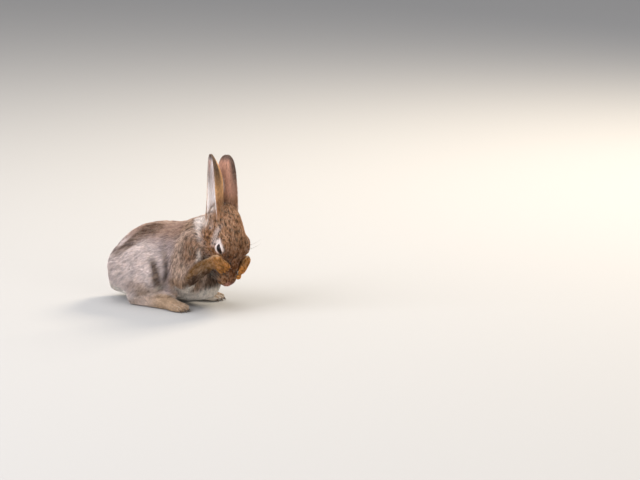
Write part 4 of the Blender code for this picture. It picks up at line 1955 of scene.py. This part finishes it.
    def paint(self, mesh: Mesh, locks: Locks, base: Array) -> None:
        """Gives each lock its bands: a darker root, the coat's own colour, and a dark, buff or plain tip.

        Args:
            mesh: the piece's mesh.
            locks: its locks.
            base: the coat's colour at each ring, with the tip last.
        """
        count, rings = len(locks), base.shape[1] - 1
        shared = np.random.default_rng(17).uniform(size=len(self.locks))[locks.clump]
        draw = 0.5 * shared + 0.5 * self.chance.uniform(size=count)
        dark = ((draw < self.DARK_BELOW) * locks.ticking)[:, None]
        buff = ((draw > self.BUFF_ABOVE) * locks.ticking)[:, None]
        shade = (self.chance.normal(1, 0.08, count) * (0.92 + 0.16 * (shared * 7.3 % 1)))[:, None]
        stages = np.linspace(0, 1, rings + 1)
        root_share = np.interp(stages, (0, 0.5, 1), (0.58, 0.06, 0))
        tip_share = np.interp(stages, (0, 0.45, 1), (0, 0.4, 1))
        colours = np.empty((count, rings * 3 + 1, 3))
        for ring in range(rings + 1):
            own = base[:, ring] * (1 - root_share[ring] * (0.35 + 0.65 * locks.ticking[:, None]))
            own = own * (1 - 0.6 * dark * tip_share[ring])
            own = own + (self.BUFF_TIP - own) * 0.4 * buff * tip_share[ring]
            stop = ring * 3 + (3 if ring < rings else 1)
            colours[:, ring * 3 : stop] = np.clip(own * shade, 0, 0.97)[:, None, :]
        lay_markings(mesh, colours.reshape(-1, 3))

    def lay_map(self, mesh: Mesh, patch: Patch, locks: Locks, loops: Array) -> None:
        """Gives each lock a small patch of its own at its root's place on the roll-out of the skin.

        Args:
            mesh: the piece's mesh.
            patch: which piece of the coat.
            locks: its locks.
            loops: the mesh's corners, one row for each lock.
        """
        rings = patch.rings
        base = patch.unwrap.places(locks.root, locks.normal)
        across = np.tile([-0.5, 0.5, 0.0], rings).tolist() + [0.0]
        up = [ring / rings + 0.12 * (corner == 2) for ring in range(rings) for corner in range(3)] + [1.0]
        shape = np.stack([across, up], axis=1) * BAKE_PATCH
        placed = base[:, None, :] + shape[None, :, :]
        flat = placed.reshape(-1, 2)[loops.ravel()].astype(np.float32)
        mesh.uv_layers.new(name=BAKE_MAP).data.foreach_set("uv", flat.ravel())


# ---- Eyes, lid rims, claws, whiskers ----


@dataclass(frozen=True)
class Eye:
    """An eyeball with its bulging cornea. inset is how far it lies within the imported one."""

    REACH = "FromPupil"

    side: Side
    bulge: float = 0.35
    cornea: float = 5.6
    inset: float = 0.25

    def build(self, skull: Skull) -> Object:
        """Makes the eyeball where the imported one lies.

        Args:
            skull: the head's axes.

        Returns:
            The eyeball, with the distance from the pupil as an attribute.
        """
        clay = bmesh.new()
        bmesh.ops.create_uvsphere(clay, u_segments=48, v_segments=32, radius=1.0)
        outward = np.array([0.0, self.side.value, 0.0])
        reaches = []
        for vertex in clay.verts:
            ray = np.array(vertex.co)
            # The sphere's pole, where its faces are finest, is turned to look outwards.
            ray = np.array([ray[0], ray[2] * self.side.value, -ray[1] * self.side.value])
            reach = math.acos(max(-1.0, min(1.0, ray @ outward))) * skull.eye_radius
            lift = self.bulge * max(0.0, 1 - (reach / self.cornea) ** 2)
            placed = skull.outward(skull.eye(self.side) + ray * (skull.eye_radius - self.inset + lift))
            vertex.co = placed * MM
            reaches.append(reach)
        eyeball = polished(f"eyeball_{self.side.word}", clay)
        attribute = eyeball.data.attributes.new(self.REACH, "FLOAT", "POINT")
        attribute.data.foreach_set("value", np.array(reaches, np.float32))
        return eyeball


@dataclass(frozen=True)
class LidRim:
    """The hairless dark margin of an eye's lids, a slim ring round the almond, proud of the eyeball."""

    side: Side
    thickness: float = 0.55
    proud: float = 0.22
    steps: int = 56

    def build(self, skull: Skull, lids: Lids) -> Object:
        """Makes the ring on the eyeball.

        Args:
            skull: the head's axes.
            lids: the almond it runs round.

        Returns:
            The ring.
        """
        line = []
        for step in range(self.steps):
            turn = 2 * math.pi * step / self.steps
            along = lids.half_length * math.cos(turn)
            up = lids.half_height * math.copysign(abs(math.sin(turn)) ** 1.6, math.sin(turn))
            up += lids.lift + lids.slant * along
            ray = np.array([along, 0.0, up])
            radius = skull.eye_radius + self.proud
            ray[1] = self.side.value * math.sqrt(radius**2 - ray[0] ** 2 - ray[2] ** 2)
            line.append(skull.outward(skull.eye(self.side) + ray))
        return ring_tube(f"lid_rim_{self.side.word}", line, self.thickness)


def ring_tube(name: str, line: list[Array], radius: float, sides: int = 8) -> Object:
    """Makes a closed tube round a loop of places.

    Args:
        name: the piece's name.
        line: the loop, in millimetres.
        radius: the tube's radius.
        sides: how many sides it has.

    Returns:
        The tube.
    """
    clay = bmesh.new()
    centre = Vector(np.mean(line, axis=0) * MM)
    rings = []
    for index, place in enumerate(line):
        ahead = Vector(line[(index + 1) % len(line)]) - Vector(line[index - 1])
        here = Vector(place * MM)
        outward = (here - centre).normalized()
        third = ahead.cross(outward).normalized()
        ring = []
        for turn in (2 * math.pi * k / sides for k in range(sides)):
            offset = outward * math.cos(turn) + third * math.sin(turn)
            ring.append(clay.verts.new(here + offset * radius * MM))
        for k in range(sides):
            clay.edges.new((ring[k], ring[(k + 1) % sides]))
        rings.append(ring)
    for index, ring in enumerate(rings):
        bridged(clay, ring, rings[(index + 1) % len(rings)])
    return polished(name, clay)


@dataclass(frozen=True)
class Horn:
    """A tapering horn or hair along a curve, such as a claw or a whisker."""

    ALONG = "AlongHorn"

    line: tuple[tuple[float, float, float], ...]
    radius: float
    sides: int = 6
    steps: int = 8

    def at(self, share: float) -> Array:
        """The place at a share of the way along the line."""
        return np.array([catmull_rom(keys, np.array([share]))[0] for keys in zip(*self.line)])

    def press(self, clay: BMesh) -> None:
        """Adds the horn to a bmesh as rings bridged along its line, closed at both ends.

        Args:
            clay: the bmesh.
        """
        layer = clay.verts.layers.float.get(self.ALONG) or clay.verts.layers.float.new(self.ALONG)
        rings = []
        for step in range(self.steps + 1):
            share = step / self.steps
            ahead, behind = self.at(min(share + 0.02, 1.0)), self.at(max(share - 0.02, 0.0))
            turned = Vector(ahead - behind).to_track_quat("Z", "Y").to_matrix().to_4x4()
            radius = self.radius * (1 - 0.94 * share**1.3)
            ring = bmesh.ops.create_circle(
                clay,
                segments=self.sides,
                radius=radius * MM,
                cap_ends=step in (0, self.steps),
                matrix=Matrix.Translation(Vector(self.at(share) * MM)) @ turned,
            )["verts"]
            for vertex in ring:
                vertex[layer] = share
            rings.append(ring)
        for ring, following in zip(rings, rings[1:]):
            bridged(clay, ring, following)


@dataclass(frozen=True)
class Claws:
    """The claws of all the toes, curved towards the soles and buried in the toes at their feet.

    radius is that of a claw 5 mm long.
    """

    radius: float = 1.0
    buried: float = 1.2

    def build(self, paws: list[Toes]) -> Object:
        """Makes all the claws as one piece.

        Args:
            paws: the toes that carry them.

        Returns:
            The piece.
        """
        clay = bmesh.new()
        for toes in paws:
            down = toes.axes()[:, 2]
            for place, way in toes.ends():
                foot = place - self.buried * way
                bend = 0.5 * down * toes.claw
                line = [foot + way * toes.claw * s + bend * s * s for s in (0.0, 0.35, 0.7, 1.0)]
                Horn(tuple(map(tuple, line)), self.radius * toes.claw / 5.0, sides=8, steps=6).press(clay)
        for vertex in clay.verts:
            vertex.co.z = max(vertex.co.z, 0.1 * MM)
        return polished("claws", clay)


@dataclass(frozen=True)
class Whiskers:
    """Stiff feelers in rows on each whisker pad, with a few over the eyes."""

    rows: int = 4
    in_row: int = 5
    longest: float = 30.0
    radius: float = 0.13

    def build(self, skull: Skull, tree: BVHTree) -> Object:
        """Makes all the whiskers as one piece.

        Args:
            skull: the head's axes.
            tree: the skin they grow from.

        Returns:
            The piece.
        """
        chance = np.random.default_rng(5)
        clay = bmesh.new()
        for side in Side:
            for row in range(self.rows):
                for place in range(self.in_row):
                    along = 75.5 - 2.6 * place + chance.uniform(-0.4, 0.4)
                    up = 0.5 - 2.0 * row + chance.uniform(-0.3, 0.3)
                    root = np.array([along, side.value * 8.5, up])
                    length = self.longest * (0.5 + 0.5 * place / (self.in_row - 1)) * chance.uniform(0.8, 1.0)
                    way = np.array([-0.30 - 0.1 * place, side.value * 0.85, 0.10 - 0.16 * row])
                    bend = np.array([-0.35, -side.value * 0.10, -0.05])
                    self.add(clay, skull, tree, root, (unit(way), bend), length)
            for place in range(2):
                root = skull.eye(side) + np.array([2.0 - 4 * place, side.value * 4.5, 6.0])
                way = unit(np.array([-0.2, side.value * 0.7, 0.8]))
                self.add(clay, skull, tree, root, (way, np.array([-0.3, 0.0, 0.0])), 15.0)
        return polished("whiskers", clay)

    def add(
        self, clay: BMesh, skull: Skull, tree: BVHTree, root: Array, way: tuple[Array, Array], length: float
    ) -> None:
        """Adds one whisker that starts under the skin and bends as it goes.

        Args:
            clay: the bmesh to add to.
            skull: the head's axes.
            tree: the skin it grows from.
            root: about where it grows, in the head's axes.
            way: its direction there, and how it bends over its length.
            length: how long it is.
        """
        found = tree.find_nearest((skull.outward(root) * MM).tolist())[0]
        foot = skull.inward(np.array(found) / MM) - way[0]
        shares = np.array([0.0, 0.33, 0.67, 1.0])[:, None]
        line = skull.outward(foot + length * (way[0] * shares + way[1] * shares**2))
        Horn(tuple(map(tuple, line)), self.radius, sides=4, steps=7).press(clay)


# ---- Studio ----


@dataclass(frozen=True)
class Lamp:
    """A soft square light that faces the rabbit, with its size and its place from the rabbit in metres."""

    name: str
    place: Vector
    size: float
    watts: float
    colour: str

    def hang(self, target: Vector) -> None:
        """Hangs the lamp, with its face turned to the target.

        Args:
            target: the rabbit's middle, in metres.
        """
        data = bpy.data.lights.new(self.name, "AREA")
        data.size = self.size
        data.energy = self.watts
        data.color = linear(self.colour)
        lamp = bpy.data.objects.new(self.name, data)
        bpy.context.scene.collection.objects.link(lamp)
        lamp.location = target + self.place
        lamp.rotation_euler = (-self.place).to_track_quat("-Z", "Y").to_euler()


@dataclass(frozen=True)
class Studio:
    """A pale floor, soft light from behind and above, and a long lens from the front right.

    The camera's distance is in metres, and view_mm is the width that it takes in at the rabbit.
    """

    azimuth: float = math.radians(32)
    elevation: float = math.radians(10)
    distance: float = 3.0
    view_mm: float = 659.2
    shift: tuple[float, float] = (0.2229, -0.0216)

    def build(self, packed: tuple[Vector, Vector]) -> None:
        """Sets up the floor, the lights and the camera.

        Args:
            packed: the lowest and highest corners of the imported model.
        """
        middle = (packed[0] + packed[1]) / 2
        self.lay_floor()
        self.light(middle)
        self.aim(middle)

    def lay_floor(self) -> None:
        """Lays the floor under the rabbit."""
        clay = bmesh.new()
        bmesh.ops.create_grid(clay, x_segments=1, y_segments=1, size=20.0)
        floor = poured("floor", clay)
        # Matt seamless paper: even and pale, with no gloss.
        made = new_material("studio_paper", {"Base Color": (*linear("#9f9e9c"), 1.0), "Roughness": 0.9})[0]
        floor.data.materials.append(made)
        floor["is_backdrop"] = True

    def light(self, middle: Vector) -> None:
        """Hangs the lamps and sets the room's own light.

        Args:
            middle: the rabbit's middle, in metres.
        """
        right = Vector((math.cos(self.azimuth), math.sin(self.azimuth), 0))
        ahead = Vector((-math.sin(self.azimuth), math.cos(self.azimuth), 0))
        up = Vector((0, 0, 1))
        for lamp in (
            Lamp("rim", right * 1.1 + ahead * 1.1 + up * 1.2, 0.7, 47.0, "#fff0da"),
            Lamp("window", right * -1.7 + ahead * -1.0 + up * 1.3, 2.0, 80.0, "#f8f8ff"),
            Lamp("overhead", right * -0.1 + ahead * 0.2 + up * 2.0, 1.6, 26.0, "#ffffff"),
            Lamp("front", right * 1.1 + ahead * -1.8 + up * 0.35, 1.4, 24.0, "#fff8ee"),
        ):
            lamp.hang(middle)
        world = bpy.data.worlds.new("room")
        world.use_nodes = True
        backdrop = world.node_tree.nodes["Background"]
        backdrop.inputs["Color"].default_value = (*linear("#e6e6ea"), 1.0)
        backdrop.inputs["Strength"].default_value = 0.7
        bpy.context.scene.world = world
        bpy.context.scene.view_settings.view_transform = "Standard"

    def aim(self, middle: Vector) -> None:
        """Sets up the camera.

        Args:
            middle: the rabbit's middle, in metres.
        """
        level = math.cos(self.elevation)
        ahead = (-math.sin(self.azimuth) * level, math.cos(self.azimuth) * level, -math.sin(self.elevation))
        look = Vector(ahead)
        data = bpy.data.cameras.new("camera")
        data.sensor_width = 36.0
        data.angle = 2 * math.atan(self.view_mm * MM / 2 / self.distance)
        data.shift_x, data.shift_y = self.shift
        data.clip_end = 100.0
        camera = bpy.data.objects.new("camera", data)
        bpy.context.scene.collection.objects.link(camera)
        camera.location = middle - look * self.distance
        camera.rotation_euler = look.to_track_quat("-Z", "Y").to_euler()
        bpy.context.scene.camera = camera


# ---- The rabbit ----


def patches(skull: Skull) -> tuple[Patch, ...]:
    """Lists the pieces of the coat.

    Args:
        skull: the head's axes.

    Returns:
        The pieces, each with the roll-out of its own stretch of skin.
    """
    x, z = np.eye(3)[0], np.eye(3)[2]
    found = []
    for side in Side:
        out = np.array([0.0, side.value, 0.0])
        face = Unwrap(skull.outward(np.zeros(3)), skull.axes[:, 0], skull.axes[:, 1] * side.value)
        ear = next(ear for ear in EARS if ear.side is side)
        root, tip = skull.outward(np.array(ear.root)), skull.outward(np.array(ear.tip))
        blade = Unwrap(root, tip - root, -skull.axes[:, 1] * side.value, hollow=True)
        word = side.word
        limbs = (f"{part}_{word}" for part in ("forearm", "forepaw", "hind_foot"))
        arm, paw, foot = (np.array(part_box(limb)).mean(0) / MM for limb in limbs)
        haunch, shoulder = Unwrap(z * 32 - x * 25 + out * 20, x, out), Unwrap(x * 20 + z * 50, z, x)
        foreleg = Unwrap(arm, paw - arm, out)
        found += [
            Patch(f"coat_flank_{word}", ("abdomen", "rump"), Unwrap(z * 42, x, out), 2, "coat", side),
            Patch(f"coat_haunch_{word}", (f"thigh_{word}", f"lower_leg_{word}"), haunch, 2, "coat"),
            Patch(f"coat_shoulder_{word}", ("chest", "upper_arm"), shoulder, 2, "coat", side),
            Patch(f"coat_head_{word}", ("head",), face, 2, "face_coat", side),
            Patch(f"coat_ear_{word}", (f"ear_{word}",), blade, 2, "ear_skin"),
            Patch(f"coat_foreleg_{word}", (f"forearm_{word}", f"forepaw_{word}"), foreleg, 2, "paw_coat"),
            Patch(f"coat_hind_foot_{word}", (f"hind_foot_{word}",), Unwrap(foot, x, out), 2, "paw_coat"),
        ]
    neck = Unwrap(x * 36 + z * 82, x * 0.5 + z * 0.87, z * 0.5 - x * 0.87)
    found += [
        Patch("coat_neck", ("neck",), neck, 2, "coat"),
        Patch("coat_tail", ("tail",), Unwrap(z * 20 - x * 73, z, -x), 3, "tail_coat"),
    ]
    return tuple(found)


def dressed(piece: Object, slot: str, finish: Material | None, *nodes: str) -> None:
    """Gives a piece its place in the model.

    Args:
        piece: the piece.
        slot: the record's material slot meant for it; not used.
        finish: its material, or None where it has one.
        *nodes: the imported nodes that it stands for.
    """
    if finish:
        piece.data.materials.clear()
        piece.data.materials.append(finish)
    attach(piece, "root")
    if nodes:
        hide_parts(*nodes)
    log.info("%s: %d faces", piece.name, len(piece.data.polygons))


def main() -> None:
    """Builds the rabbit and its studio."""
    logging.basicConfig(level=logging.INFO, format="%(relativeCreated)8d %(message)s", stream=sys.stdout)
    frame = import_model()
    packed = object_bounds()
    nodes = frame["nodes"]
    skull, lids = Skull(), Lids()

    skin = Skin(nodes, skull, lids)
    skin.finish()
    markings = Markings(skin.surface, skull, lids)
    skin.paint(markings)
    flesh = [name for name in nodes if not name.startswith("eye")]
    dressed(skin.object, "coat", HideFinish("downy_skin").material(), *flesh)

    wet, rim = EyeFinish().material(), LidFinish().material()
    for side in Side:
        dressed(Eye(side).build(skull), "eye", wet, f"eye_{side.word}")
        dressed(LidRim(side).build(skull, lids), "face_coat", rim)

    coat = Coat(skin, markings)
    hair = HairFinish("rabbit_hair").material()
    for patch in patches(skull):
        dressed(coat.grow(patch, hair), patch.slot, None)

    claw_horn = HornFinish("claw_keratin", "#2c211b", "#6e5c4c").material()
    dressed(Claws().build(skin.toes), "paw_coat", claw_horn)
    whisker_hair = HornFinish("whisker_keratin", "#2a211c", "#cfc6ba").material()
    dressed(Whiskers().build(skull, coat.tree), "face_coat", whisker_hair)

    Studio().build(packed)


if __name__ == "__main__":
    main()
